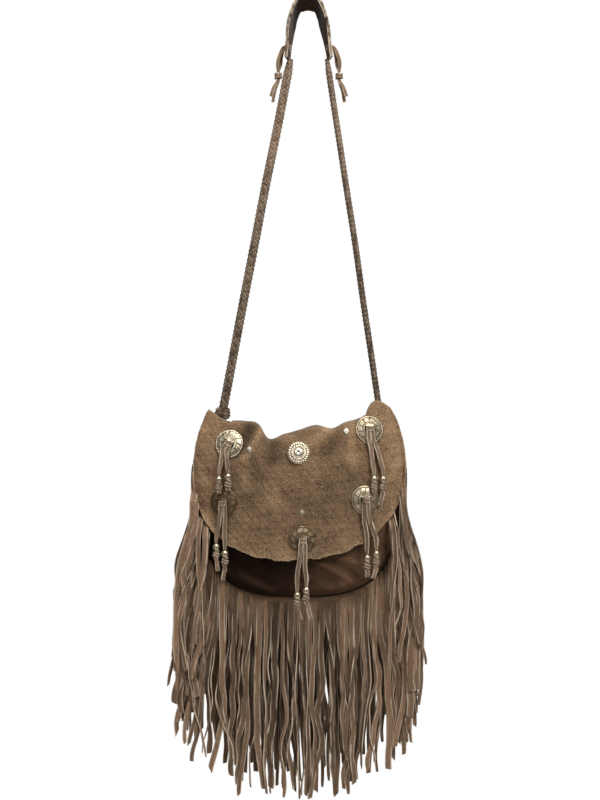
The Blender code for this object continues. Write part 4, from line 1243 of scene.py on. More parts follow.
    def hung(self, draw: Draw, place: Array, outward: Array, start: Array, fall: Array) -> Array:
        """Give the points' distances from the pouch's middle before any wave is added.

        A strand leans out of the seam as it turns down. One that starts high on the side may fold
        in over the panel, and the others there splay outwards on their way down.

        Args:
            draw: random numbers.
            place: each strand's place on the seam, in X and Z.
            outward: the seam's outward normal there.
            start: where the strand leaves the header.
            fall: fallen length at each of its points.

        Returns:
            One row of distances for each strand.
        """
        s, each = self.stray, (len(place), 1)
        sideways = np.abs(outward[:, 0])
        splay = (self.splay * outward[:, 0] * sideways)[:, None]
        inward = np.where(place[:, :1] > 0, self.fold_in, s.left_fold * self.fold_in) * draw.random(each)
        high = place[:, 1:] > self.pouch.middle_z - self.fold_high
        inward = inward * high * (draw.random(each) < s.fold_odds) * np.sign(place[:, :1])
        splay = np.where(np.abs(inward) > 0.0, s.fold_splay * splay, splay)
        x = start[:, :1] + outward[:, :1] * self.leant(fall) * s.lean_out
        x = x - inward * ramp_mm(fall, s.fold_range)
        uneven = 1 + s.splay_spread * (1 - s.splay_calm * self.calm) * (draw.random(each) - 0.5)
        return x + splay * ramp_mm(fall, s.splay_range) * uneven

    def swung(self, draw: Draw, x: Array, start: Array, t: Array, fall: Array, sideways: Array,
              waves: Waves) -> Array:
        """Add to the distances from the middle what makes each strand's own path.

        These are a slow wave, a steady drift, a quick small wave, the clumping with its
        neighbours, the hook of its tip and a small shift.

        Args:
            draw: random numbers.
            x: the distances so far.
            start: where each strand leaves the header.
            t: share of its length at each point.
            fall: fallen length at each point.
            sideways: how far the seam faces sideways at each strand, from 0 to 1.
            waves: its waves.

        Returns:
            The new distances.
        """
        s, calm, each = self.stray, self.calm, (len(x), 1)
        grow = smooth_step(t, *s.grow)
        x = x + grow * (waves.size[0] * np.sin(waves.angle(0, t)) - waves.size[0] * np.sin(waves.phase[0]))
        x = x + grow * t * draw.normal(0.0, s.drift, each) * MM * (1 - s.drift_calm * calm)
        quick = draw.uniform(*s.quick, each) * TURN * t + waves.phase[3]
        x = x + draw.uniform(*s.quick_size, each) * MM * grow * np.sin(quick) * (1 - s.quick_calm * calm)
        bunch = smooth_step(t, 0.5, 0.95)
        near = ripple(start[:, :1], 0 * start[:, :1], s.clump_wave, SEED + 9)
        x = x + self.clump * (1 - s.clump_calm * calm) * bunch * near
        odds = s.hook_odds[0] + s.hook_odds[1] * sideways[:, None]
        hook = np.where(draw.random(each) < odds, draw.normal(0.0, s.hook, each), 0.0) * MM
        hook = np.clip(hook, -s.hook_most * MM, s.hook_most * MM) * (1 + s.hook_side * sideways[:, None])
        x = x + hook * smooth_step(t, s.hook_from, 1.0) * (1 - calm)
        return x + (1 - calm) * draw.normal(0.0, s.shift, each) * MM * ramp_mm(fall, s.shift_range)

    def layered(self, tier: int, place: Array, sideways: Array, fall: Array) -> Array:
        """Give the points' depths: three ranks below, and each strand up the side over the last.

        Args:
            tier: which layer of the comb.
            place: each strand's place on the seam, in X and Z.
            sideways: how far the seam faces sideways there, from 0 to 1.
            fall: fallen length at each point.

        Returns:
            One row of depths for each strand.
        """
        centre = int(np.argmin(np.abs(place[:, 0])))
        rank = np.abs(np.arange(len(place)) - centre)
        crowd = np.cumsum(np.concatenate([[0.0], sideways]))[1:]
        crowd = np.abs(crowd - crowd[centre])[:, None]
        ranks = ((rank * 2) % 3)[:, None] * self.stray.rank_lift * MM * (1 - sideways[:, None])
        depth = self.spread * (1 + tier) + ranks + self.lap * crowd * smooth_step(sideways, 0.2, 0.6)[:, None]
        return self.header_y + self.facing * depth * smooth_step(fall, 0.0, self.settle)

    def turned(self, draw: Draw, centres: Array, tangent: Array, t: Array, fall: Array,
               waves: Waves) -> Array:
        """Give the direction of the strands' width: along the seam at first, then level and twisted.

        Args:
            draw: random numbers.
            centres: points of the strands' middle lines.
            tangent: the seam's direction at each strand.
            t: share of its length at each point.
            fall: fallen length at each point.
            waves: its waves.

        Returns:
            One direction for each point.
        """
        s, each = self.stray, (len(centres), 1)
        total = draw.normal(0.0, s.turned * (1 - s.turned_calm * self.calm), each)
        rolled = draw.random(each) < s.rolled_odds * (1 - self.calm)
        total = np.where(rolled, draw.uniform(-s.rolled, s.rolled, each) * math.pi, total)
        angle = total * smooth_step(t, 0.01, 0.5)
        angle = angle + s.twist * smooth_step(t, *s.grow) * np.sin(waves.angle(2, t))
        down = smooth_step(fall, 0.0, s.turn_down * MM)[..., None]
        level = np.sign(tangent[:, :1])[..., None] * ACROSS
        seamward = np.stack([tangent[:, 0], np.zeros(len(tangent)), tangent[:, 1]], axis=-1)[:, None, :]
        flat = unit(seamward * (1 - down) + level * down * np.sign(seamward[..., :1]))
        side = np.cross(unit(np.gradient(centres, axis=1)), flat)
        return flat * np.cos(angle)[..., None] + side * np.sin(angle)[..., None]

    def breadths(self, draw: Draw, width: Array, t: Array, fall: Array) -> Array:
        """Give the strands' widths: a little uneven, narrower as they fall and at their cut tips.

        Args:
            draw: random numbers.
            width: each strand's width at the seam.
            t: share of its length at each point.
            fall: fallen length at each point.

        Returns:
            One width for each point.
        """
        s, each = self.stray, (len(width), 1)
        least = s.breadth[0] + (1 - s.breadth[0]) * self.calm
        breadth = width[:, None] * draw.uniform(least, s.breadth[1], each)
        breadth = breadth * (1 - self.narrow * smooth_step(fall, 3 * MM, 50 * MM))
        breadth = breadth * (1 - s.breadth_end * self.calm * smooth_step(t, 0.66, 0.95))
        breadth = breadth * (1 - s.tip_narrow * smooth_step(t, 0.975, 1.0) * draw.random(each))
        return np.minimum(breadth, s.breadth_most * MM)

    def strands(self, tier: int) -> Shape:
        """Cut the strands of one layer.

        Each leaves the header square to the seam and turns down within a few millimetres. It falls
        its own length, the side ones splayed outwards, with a slow wave, a twist about its own
        line and a cupped section. Strands from higher up the side lie over those below.

        Args:
            tier: which layer of the comb.

        Returns:
            All its strands as one shape.
        """
        s, calm = self.stray, self.calm
        place, tangent, outward, width = self.places(tier)
        count = len(place)
        draw = np.random.default_rng(SEED + self.seed + 1 + 13 * tier)
        sideways = np.abs(outward[:, 0])
        start = place + outward * (self.header_out(sideways) + draw.uniform(*s.cut_up, count) * MM)[:, None]
        t = np.linspace(0.0, 1.0, self.steps)[None, :] ** s.crowd
        shorter = (self.uneven + self.ragged * sideways) * draw.random(count) ** s.shorter_power
        fall = t * (self.length + draw.normal(0.0, s.length, count) * MM - shorter)[:, None]
        x = self.hung(draw, place, outward, start, fall)
        waves = Waves.drawn(draw, s, calm, sideways)
        x = self.swung(draw, x, start, t, fall, sideways, waves)
        z = start[:, 1:] - fall + (outward[:, 1:] + 1.0) * self.leant(fall) * s.lean_up
        y = self.layered(tier, place, sideways, fall)
        grow = smooth_step(t, *s.grow)
        y = y + self.facing * grow * waves.size[1] * s.wave_out * (1 + np.sin(waves.angle(1, t)))
        if self.facing < 0:
            y = self.between(x, y, z)
        centres = np.stack([x + self.pouch.middle_x, y, z], axis=-1)
        wide = self.turned(draw, centres, tangent, t, fall, waves)
        breadth = self.breadths(draw, width, t, fall)
        curl = draw.normal(0.0, s.curl, (count, 1)) * smooth_step(t, 0.0, 0.3)
        # Painted shade: the layer's dim lowers every strand's tone
        tones = draw.uniform(*s.tones, count) - s.tone_dim * self.dim + s.tone_side * sideways
        slant = draw.normal(0.0, s.slant, count)
        made = strip_shape(centres, wide, breadth, self.thick, curl, tones, self.dim, slant)
        shown = np.repeat(smooth_step(fall, 0.0, self.fade), len(STRIP_U), axis=1)
        made.values["rim"] = made.values["rim"] * shown.reshape(-1)
        paler = np.repeat(smooth_step(fall, s.tip_from * self.length, self.length), len(STRIP_U), axis=1)
        made.values["tone"] = made.values["tone"] + s.tone_tip * paler.reshape(-1)
        return made

    def make(self, finishes: Finishes) -> list[bpy.types.Object]:
        """Build the comb: its header with the first layer, and each further layer as its own piece."""
        curve, _, _ = self.seam()
        run = float(np.linalg.norm(np.diff(curve, axis=0), axis=1).sum())
        strip = run * (self.header_in + (self.header_side + self.header_bottom) / 2)
        made = []
        for number in range(self.layers):
            shape = self.strands(number)
            if number == 0:
                shape = Shape.joined([self.header(), shape])
            name = self.name if number == 0 else f"{self.name}_{number + 1}"
            thing = build(name, shape, finishes.get(FRINGE_SUEDE), 50)
            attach(thing, Body.BAG.value)
            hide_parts(self.node)
            area = float(self.places(number)[3].sum()) * self.length + (strip if number == 0 else 0.0)
            made.append(thing)
        return made


# Straps


@dataclass(frozen=True)
class Pad:
    """The two-layer shoulder pad, folded over the hook in a narrow arch."""

    half_width: float = 27.0 * MM
    end_half: float = 7.5 * MM
    suede: float = 1.6 * MM
    apart: float = 0.3 * MM
    slot_half: float = 4.0 * MM
    slot_tall: float = 5.8 * MM
    slot_up: float = 12.0 * MM
    twist: float = 12.0
    droop: float = 8.5 * MM
    droop_power: float = 2.5
    droop_in: float = 0.25
    fray: float = 0.35 * MM
    rows: int = 190
    columns: int = 56
    route: tuple = ((-21.0, -70.0), (-19.2, -52.0), (-16.8, -32.0), (-12.6, -14.0), (-6.5, -2.6), (0.0, 0.0),
                    (6.5, -2.8), (12.0, -14.0), (16.3, -32.0), (19.8, -52.0), (22.6, -70.0))

    def layer(self, lift: float, grow: float, seed: int) -> tuple[Array, Array]:
        """Work out one layer: the route over the arch, lifted along its normal, widest at the top.

        Args:
            lift: distance of the layer's middle from the hook's line.
            grow: how much wider than the other layer it is, in metres a side.
            seed: which unevenness its cut edges have.

        Returns:
            The points and the cells left round the two slots.
        """
        route = np.array(self.route) * MM
        steps = travelled(route)
        share = np.linspace(0.0, 1.0, self.rows + 1)
        xz = curve_through(np.column_stack([steps / steps[-1], route]), share)
        tangent = unit(np.gradient(xz, axis=0))
        normal = np.stack([-tangent[:, 1], tangent[:, 0]], axis=-1)
        xz = xz + normal * lift
        from_end = np.minimum(share, 1 - share) * 2
        half = self.end_half + (self.half_width - self.end_half) * smooth_step(from_end, 0.12, 0.8)
        half = half + grow + self.fray * ripple(share * steps[-1], 0 * share, 0.02, seed)
        v = np.linspace(-1.0, 1.0, self.columns + 1)
        y = v[None, :] * half[:, None]
        dip = self.droop * np.abs(v) ** self.droop_power * smooth_step(from_end, 0.3, 0.95)[:, None]
        twist = math.radians(self.twist) * (1 - smooth_step(from_end, 0.25, 0.85))
        lean = np.sign(xz[:, :1]) * np.tan(twist)[:, None] * -y
        x = xz[:, :1] - self.droop_in * normal[:, :1] * dip + lean
        z = xz[:, 1:] - normal[:, 1:] * dip
        grid = np.stack([x, y, z], axis=-1)
        middle = (grid[1:, 1:] + grid[:-1, :-1]) / 2
        up = middle[..., 2] - (self.route[0][1] * MM + self.slot_up)
        hole = (np.abs(middle[..., 1]) < self.slot_half) & (np.abs(up) < self.slot_tall / 2)
        return grid, ~hole

    def make(self, finishes: Finishes) -> list[bpy.types.Object]:
        """Build the lining and the outer layer."""
        made = []
        for name, node, lift, grow, finish in (
                ("pad_lining_leather", "pad_lining", self.suede / 2, 0.0, LINING),
                ("pad_outer_leather", "pad_outer", self.suede * 1.5 + self.apart, 0.3 * MM, PAD_SUEDE)):
            grid, keep = self.layer(lift, grow, SEED + len(made) + 20)
            thing = build(name, sheet_shape(grid, self.suede, keep), finishes.get(finish), 60)
            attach(thing, Body.BAG.value)
            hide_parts(node)
            made.append(thing)
        return made


@dataclass(frozen=True)
class Braid:
    """A strap plaited round from narrow laces, and the knot that ends it under the flap's ear.

    top and foot are the ends of its middle line, and wide and thin are its oval's two diameters.
    """

    pouch: Pouch
    side: int
    name: str
    node: str
    top: tuple[float, float, float]
    foot: tuple[float, float, float]
    wide: float
    thin: float
    laces: int = 8
    lace_wide: float = 2.9 * MM
    lace_thick: float = 1.4 * MM
    pitch: float = 20.0 * MM
    taper: float = 16.0 * MM
    knot_wide: float = 17.0 * MM
    knot_tall: float = 12.0 * MM
    knot_down: float = -3.0 * MM
    knot_lace: float = 3.4 * MM
    knot_thick: float = 1.5 * MM
    knot_turns: float = 7.0
    knot_swell: float = 0.75
    knot_front: float = 0.8 * MM
    knot_back: float = 0.5 * MM
    end_drop: float = 38.0 * MM
    end_wide: float = 7.0 * MM
    end_thick: float = 3.0 * MM
    sway: float = 0.5 * MM
    weave: float = 0.13
    core_wide: float = 0.62
    core_thin: float = 0.55
    # core_tone darkens the core as painted shade; tone_rise and tone_low make the braid lighter towards the
    # top as painted light
    core_tone: float = -1.2
    tone_rise: float = 0.9
    tone_low: float = 0.3

    def route(self, count: int) -> Array:
        """Points of the strap's middle line, with a slight unevenness."""
        t = np.linspace(0.0, 1.0, count)[:, None]
        line = np.array(self.top) * (1 - t) + np.array(self.foot) * t
        unrest = ripple(t[:, 0], 0 * t[:, 0], 0.3, SEED + self.side + 30)
        line[:, 0] += self.sway * np.sin(math.pi * t[:, 0]) * unrest
        return line

    def plait(self) -> Shape:
        """The laces.

        Each follows the strap and circles its middle line on an oval: half of them one way and
        half the other. Each in turn goes outside and inside the ones that it meets.
        """
        length = float(np.linalg.norm(np.array(self.foot) - np.array(self.top)))
        steps = int(length / (self.pitch / 22))
        line = self.route(steps)
        along = unit(np.gradient(line, axis=0))
        right = unit(ACROSS - along * along[:, :1])
        outward = np.cross(right, along)
        s = np.linspace(0.0, length, steps) / self.pitch * TURN
        half_wide = (self.wide - self.lace_thick - 0.8 * MM) / 2
        half_thin = (self.thin - self.lace_thick - 0.6 * MM) / 2
        centres, wide = [], []
        slim = 1.0 - 0.5 * (1 - smooth_step(np.linspace(0.0, length, steps), -0.3 * self.taper, self.taper))
        each = self.laces // 2
        for k in range(self.laces):
            way = 1 if k < each else -1
            angle = way * s + TURN * (k % each) / each
            weave = 1.0 + self.weave * way * np.cos(each * angle)
            x, y = half_wide * weave * slim * np.cos(angle), half_thin * weave * slim * np.sin(angle)
            centres.append(line + right * x[:, None] + outward * y[:, None])
            normal = (right * (np.cos(angle) / half_wide)[:, None]
                      + outward * (np.sin(angle) / half_thin)[:, None])
            tangent = unit(np.gradient(centres[-1], axis=0))
            wide.append(unit(np.cross(tangent, unit(normal))))
        tones = np.random.default_rng(SEED + self.side).uniform(0.0, 1.0, self.laces)
        return strip_shape(np.array(centres), np.array(wide), self.lace_wide, self.lace_thick, 0.18, tones)

    def core(self) -> Shape:
        """A plain core inside the plait, so that no light comes through it; its tone is lowered as painted
        shade in the gaps between the laces.
        """
        line = self.route(60)[None]
        wide, thin = self.wide * self.core_wide, self.thin * self.core_thin
        return strip_shape(line, np.broadcast_to(ACROSS, line.shape), wide, thin, tone=self.core_tone)

    def knot(self) -> Shape:
        """Wrap turns of lace round the strap's end, in a rounded lump between the back and the flap."""
        foot, p = np.array(self.foot), self.pouch
        across = foot[0] - p.middle_x
        knot_z = foot[2] - self.knot_tall / 2
        beside = abs(across) + self.knot_wide / 3
        near = float(p.flap_y(math.copysign(beside, across), knot_z)) + p.suede / 2 + self.knot_front
        far = float(p.back_y(beside, knot_z)) - p.suede / 2 - self.knot_back
        angle = np.linspace(0.0, 1.0, 420) * TURN * self.knot_turns
        rise = np.sin(angle * 3 / 7 * 1.5 + 0.4)
        swell = np.sqrt(np.maximum(1 - (self.knot_swell * rise) ** 2, 0.1)) * (1 + 0.10 * np.sin(angle * 2.5))
        x = foot[0] + swell * (self.knot_wide - 2.4 * MM) / 2 * np.cos(angle)
        y = (near + far) / 2 + swell * max(far - near - 1.6 * MM, 1.0 * MM) / 2 * np.sin(angle)
        z = foot[2] - self.knot_down - self.knot_tall / 2 * (1 - 0.8 * rise)
        centres = np.stack([x, y, z], axis=-1)[None]
        wide = np.broadcast_to(UPRIGHT, centres.shape)
        return strip_shape(centres, wide, self.knot_lace, self.knot_thick, 0.2)

    def tail(self) -> Shape:
        """The end of the strap, sewn flat inside the back panel."""
        p = self.pouch
        drop = np.linspace(self.knot_tall * 0.4, self.end_drop, 30)
        z = self.foot[2] - drop
        across = abs(self.foot[0] - p.middle_x) + (self.end_wide + 0.6 * MM) / 2
        y = p.back_y(across, z) - p.suede / 2 - 0.4 * MM - (self.end_thick + 0.2 * MM) / 2
        centres = np.stack([np.full(len(z), self.foot[0]), y, z], axis=-1)[None]
        return strip_shape(centres, np.broadcast_to(ACROSS, centres.shape), self.end_wide, self.end_thick)

    def make(self, finishes: Finishes) -> list[bpy.types.Object]:
        shape = Shape.joined([self.plait(), self.core()])
        # Painted light: the braid is lighter towards the top and darker lower down
        shape.values["tone"] += self.tone_rise * smooth_step(shape.verts[:, 2], -0.42, -0.08) - self.tone_low
        thing = build(self.name, shape, finishes.get(BRAID), 50)
        end = build(self.name + "_knot", Shape.joined([self.knot(), self.tail()]), finishes.get(BRAID), 50)
        for piece in (thing, end):
            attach(piece, Body.BAG.value)
            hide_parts(self.node)
        line = self.route(80)
        return [thing, end]


@dataclass(frozen=True)
class Tie:
    """The lace that ties a braid to the pad, and the suede ring drawn up round its tails.

    end is the pad's end in X and Z, and side is -1 on the left and 1 on the right.
    """

    side: int
    name: str
    end: Pair
    ring_out: float = 11.7 * MM
    ring_down: float = 19.0 * MM
    slot_up: float = 12.0 * MM
    wide: float = 3.6 * MM
    thick: float = 1.5 * MM
    wrap_radius: Pair = (3.5 * MM, 3.1 * MM)
    wrap_turns: float = 2.15
    wrap_rise: float = 2.4 * MM
    wrap_wide: float = 4.6 * MM
    wrap_thick: float = 1.1 * MM
    highlight_from: float = 0.8 * MM
    highlight_to: float = 2.6 * MM

    def make(self, finishes: Finishes) -> list[bpy.types.Object]:
        """Build the lace, from one tail through the pad's slot to the other, and the ring."""
        side, (end_x, end_z) = self.side, self.end
        slot_z = end_z + self.slot_up
        ring_x, ring_z = end_x + side * self.ring_out, end_z - self.ring_down
        across, upright, slant = (1.0, 0.0, 0.0), (0.0, 0.0, float(side)), (0.7, 0.0, 0.7 * side)
        tail_a = ((8.2, -2.6, -23.0, across), (4.2, -2.4, -12.0, across), (0.0, -1.0, -5.0, across),
                  (0.0, -1.0, 5.0, across), (0.8, -2.4, 13.0, across), (-1.5, -2.2, 22.0, slant))
        tail_b = ((6.0, 2.6, -28.0, across), (3.0, 2.4, -13.0, across), (0.0, 1.0, -5.0, across),
                  (0.0, 1.0, 5.0, across), (-2.6, 2.4, 13.0, across), (-3.6, 2.2, 22.0, slant))
        rows = [(ring_x + side * o * MM, y * MM, ring_z + u * MM, *w) for o, y, u, w in tail_a]
        rows += [(end_x + side * o * MM, y * MM, slot_z, *upright)
                 for o, y in ((4.6, -2.0), (-1.0, -2.0), (-2.6, 0.0), (-1.0, 2.0), (4.6, 2.0))]
        rows += [(ring_x + side * o * MM, y * MM, ring_z + u * MM, *w) for o, y, u, w in tail_b[::-1]]
        read = evenly(rows, 170)[None]
        shape = strip_shape(read[..., :3], read[..., 3:], self.wide, self.thick, 0.04, 0.6)
        lace = build("tie_" + self.name, shape, finishes.get(LACE), 50)
        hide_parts("tie_lace_" + self.name)
        t = np.linspace(0.0, 1.0, 90)
        angle = t * TURN * self.wrap_turns + math.pi * 0.75
        centres = np.stack([ring_x + self.wrap_radius[0] * np.cos(angle), self.wrap_radius[1] * np.sin(angle),
                            ring_z + (t - 0.5) * self.wrap_rise], axis=-1)[None]
        wrap = strip_shape(centres, np.broadcast_to(UPRIGHT, centres.shape), self.wrap_wide, self.wrap_thick,
                           0.06, 0.7)
        # Painted highlight: the top of the wrap turns near white, like a bright metal glint
        wrap.values["rim"] = smooth_step(wrap.verts[:, 2], ring_z + self.highlight_from, ring_z + self.highlight_to)
        ring = build("tie_wrap_" + self.name, wrap, finishes.get(RING), 50)
        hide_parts("tie_ring_" + self.name)
        for thing in (lace, ring):
            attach(thing, Body.BAG.value)
        return [lace, ring]


# Metal


@dataclass(frozen=True)
class Concho:
    """A domed silver concho with a leaf border, fluted rays and two lace slots.

    Heights of the relief are in metres; bands and places are shares of the radius.
    """

    radius: float = 15.0 * MM
    rise: float = 4.4 * MM
    wall: float = 0.9 * MM
    slot: Pair = (2.4 * MM, 6.6 * MM)
    slot_x: float = 4.6 * MM
    slot_lip: float = 0.22 * MM
    leaves: int = 10
    leaf: float = 0.42 * MM
    leaf_band: tuple[float, ...] = (0.56, 0.62, 0.84, 0.90)
    leaf_skew: float = 3.2
    leaf_power: float = 0.6
    leaf_level: float = 0.45
    vein: float = 0.20 * MM
    vein_wide: float = 0.012
    ray: float = 0.14 * MM
    ray_band: tuple[float, ...] = (0.40, 0.44, 0.50, 0.55)
    groove: float = 0.45 * MM
    grooves: tuple = ((0.57, 0.012), (0.90, 0.014))
    rim: float = 0.30 * MM
    rim_at: float = 0.965
    rim_wide: float = 0.03
    flat: float = 0.12
    rings: int = 90
    steps: int = 220

    def dome(self, r: Array) -> Array:
        """Height of the plain dome at share r of the radius: a flattened cosine."""
        return self.rise * (self.flat + (1 - self.flat) * np.cos(np.minimum(r, 1.0) * math.pi / 2) ** 0.8)

    def relief(self, r: Array, a: Array) -> Array:
        """Height of the relief: a rim, two grooves, leaves with a vein down each, and short rays.

        Args:
            r: share of the radius.
            a: angle round the middle.

        Returns:
            The height over the dome.
        """
        border = band(r, self.leaf_band)
        leaf = np.abs(np.cos(a * self.leaves / 2 + self.leaf_skew * (r - 0.7)))
        leaves = border * (leaf ** self.leaf_power - self.leaf_level) * self.leaf
        leaves = leaves - border * self.vein * np.exp(-((1 - leaf) / self.vein_wide))
        rays = band(r, self.ray_band) * self.ray * np.sin(a * self.leaves * 4)
        grooves = sum(bell(r, place, width) for place, width in self.grooves)
        return leaves + rays - self.groove * grooves + self.rim * bell(r, self.rim_at, self.rim_wide)

    def shape(self) -> Shape:
        """The dome with its relief and slots; the low places get the attribute "cavity" for the tarnish."""
        r = np.linspace(0.01, 1.0, self.rings)[:, None]
        a = angles(self.steps)[None, :]
        x, y = r * np.cos(a) * self.radius, r * np.sin(a) * self.radius
        lip = np.maximum(np.abs(np.abs(x) - self.slot_x) - self.slot[0] / 2, np.abs(y) - self.slot[1] / 2)
        relief = self.relief(r, a) + self.slot_lip * bell(np.maximum(lip, 0), 0.0, 0.5 * MM)
        grid = np.stack([x, y, self.dome(r) + relief - self.wall / 2], axis=-1)
        middle = (grid[1:] + grid[:-1]) / 2
        middle = (middle + np.roll(middle, -1, axis=1)) / 2
        keep = ~((np.abs(np.abs(middle[..., 0]) - self.slot_x) < self.slot[0] / 2)
                 & (np.abs(middle[..., 1]) < self.slot[1] / 2))
        made = sheet_shape(grid, self.wall, keep, wrap=True)
        low = np.clip(0.25 - relief / (0.5 * MM), 0.0, 1.0) * smooth_step(r, 0.36, 0.42)
        made.values["cavity"] = self.read(low, made.verts)
        return made

    def read(self, table: Array, verts: Array) -> Array:
        """Read for each point of the finished sheet the value of the grid point that it came from."""
        radius = np.hypot(verts[:, 0], verts[:, 1]) / self.radius
        angle = np.mod(np.arctan2(verts[:, 1], verts[:, 0]), TURN)
        row = np.clip(np.round((radius - 0.01) / 0.99 * (self.rings - 1)).astype(int), 0, self.rings - 1)
        return table[row, np.round(angle / TURN * self.steps).astype(int) % self.steps]


@dataclass(frozen=True)
class Bead:
    """A silver bead: a rounded barrel with a groove near each end and a hole for the lace."""

    radius: float = 3.9 * MM
    hole: float = 2.3 * MM
    tall: float = 6.6 * MM
    rounding: float = 0.34
    groove: float = 0.25 * MM
    groove_at: float = 0.66
    steps: int = 48

    def shape(self) -> Shape:
        """The profile turned round: 1 less a power of the height, with a bell cut out for each groove."""
        t, back = np.linspace(-1.0, 1.0, 40), np.linspace(1.0, -1.0, 8)
        outer = self.radius * (1 - self.rounding * np.abs(t) ** 2.6)
        outer = outer - self.groove * bell(np.abs(t), self.groove_at, 0.05)
        radius = np.concatenate([outer, np.full(len(back), self.hole)])
        made = turned_shape(radius, np.concatenate([t, back]) * self.tall / 2, self.steps)
        cut = 0.9 * bell(np.abs(t), self.groove_at, 0.07) + 0.35 * smooth_step(np.abs(t), 0.8, 1.0) - 0.25
        made.values["cavity"] = np.repeat(np.concatenate([cut, np.ones(len(back))]), self.steps)
        return made


@dataclass(frozen=True)
class Rosette:
    """A beaded rosette: a domed centre with a dimple, and two rings of beads, as a relief on a disc."""

    radius: float = 12.0 * MM
    rise: float = 4.2 * MM
    wall: float = 0.5 * MM
    dome: Pair = (0.50, 0.45)
    dimple: Pair = (0.22, 0.13)
    beads: int = 24
    bead_rings: tuple = ((0.60, 0.115, 0.0), (0.86, 0.125, 0.5))
    bead_high: float = 0.30
    dull: Pair = (0.75, -0.4)
    rings: int = 92
    steps: int = 240
    skirt_rows: int = 5

    def shape(self) -> Shape:
        """The relief, as shares of the rise, and the skirt that closes its edge down to the flap."""
        r = np.linspace(0.01, 1.0, self.rings)[:, None]
        a = angles(self.steps)[None, :]
        height = 0.55 * np.exp(-(r / 0.9) ** 4) - 0.1 * r
        height = height + self.dome[0] * np.sqrt(np.maximum(1 - (r / self.dome[1]) ** 2, 0.0))
        height = height - self.dimple[0] * bell(r, 0.0, self.dimple[1])
        deep = np.zeros((self.rings, self.steps))
        for centre, size, phase in self.bead_rings:
            across = ((a * self.beads / TURN + phase) % 1.0 - 0.5) / 0.52
            ball = np.sqrt(np.maximum(1 - ((r - centre) / size) ** 2 - across**2, 0.0))
            height = height + self.bead_high * ball
            deep = np.maximum(deep, np.where(np.abs(r - centre) < size * 1.15, 1 - ball * 1.6, 0.0))
        grid = round_grid(r * self.radius, a, height * self.rise)
        drop = 1 - np.linspace(0.0, 1.0, self.skirt_rows + 1)[1:, None, None]
        grid = np.concatenate([grid, grid[-1] * (1 - UPRIGHT) + grid[-1] * UPRIGHT * drop])
        made = sheet_shape(grid, self.wall, wrap=True)
        skirt = np.zeros((self.skirt_rows, self.steps))
        cavity = np.concatenate([np.clip(deep, 0.0, 1.0), skirt]).reshape(-1)
        made.values["cavity"] = np.concatenate([cavity, cavity]) * self.dull[0] + self.dull[1]
        return made


@dataclass(frozen=True)
class Stud:
    """A pyramid stud standing on its point: a diamond outline with a softened peak."""

    half: Pair = (2.9 * MM, 3.7 * MM)
    base: float = 0.4
    rise: float = 1.9
    wall: float = 0.3 * MM
    rings: int = 26
    steps: int = 80

    def shape(self) -> Shape:
        """Straight sides up to a peak that is rounded by a small root, and a skirt down to the flap."""
        r = np.linspace(0.01, 1.0, self.rings)[:, None]
        a = angles(self.steps)[None, :]
        edge = 1.0 / (np.abs(np.cos(a)) / self.half[0] + np.abs(np.sin(a)) / self.half[1])
        slope = 1.0 - np.sqrt(r**2 + 0.004)
        grid = round_grid(r * edge, a, (self.base + self.rise * np.maximum(slope, 0.0)) * MM)
        return sheet_shape(np.concatenate([grid, grid[-1:] * (1 - UPRIGHT)]), self.wall, wrap=True)


@dataclass(frozen=True)
class Lacing:
    """A concho on the flap: where it sits, and the two knotted strands that hang from it.

    at is across and height, and each of strands is a bead's across and height and its tail's
    length, all in millimetres; turn is in degrees, and dull adds to the tarnish share as painted shade and
    painted reflection.
    """

    name: str
    at: Pair
    turn: float
    strands: tuple
    dull: float


# The last number of each lacing is painted shade and painted reflection: the lower left and bottom conchos
# are darkened most
LACINGS = (
    Lacing("upper_left", (-75.0, -493.0), -27.0, ((-86.0, -531.0, 6.0), (-76.0, -528.0, 8.0)), 0.0),
    Lacing("lower_left", (-80.5, -556.5), 0.0, ((-89.0, -604.0, 20.0), (-79.5, -611.0, 22.0)), 0.80),
    Lacing("bottom", (4.2, -596.0), 0.0, ((-1.8, -654.5, 20.0), (8.0, -649.0, 26.0)), 0.66),
    Lacing("upper_right", (76.0, -478.0), 0.0, ((81.0, -530.5, 6.0), (91.0, -531.0, 22.0)), 0.3),
    Lacing("lower_right", (71.0, -553.0), 0.0, ((73.5, -615.5, 14.0), (83.5, -611.5, 20.0)), 0.25),
)


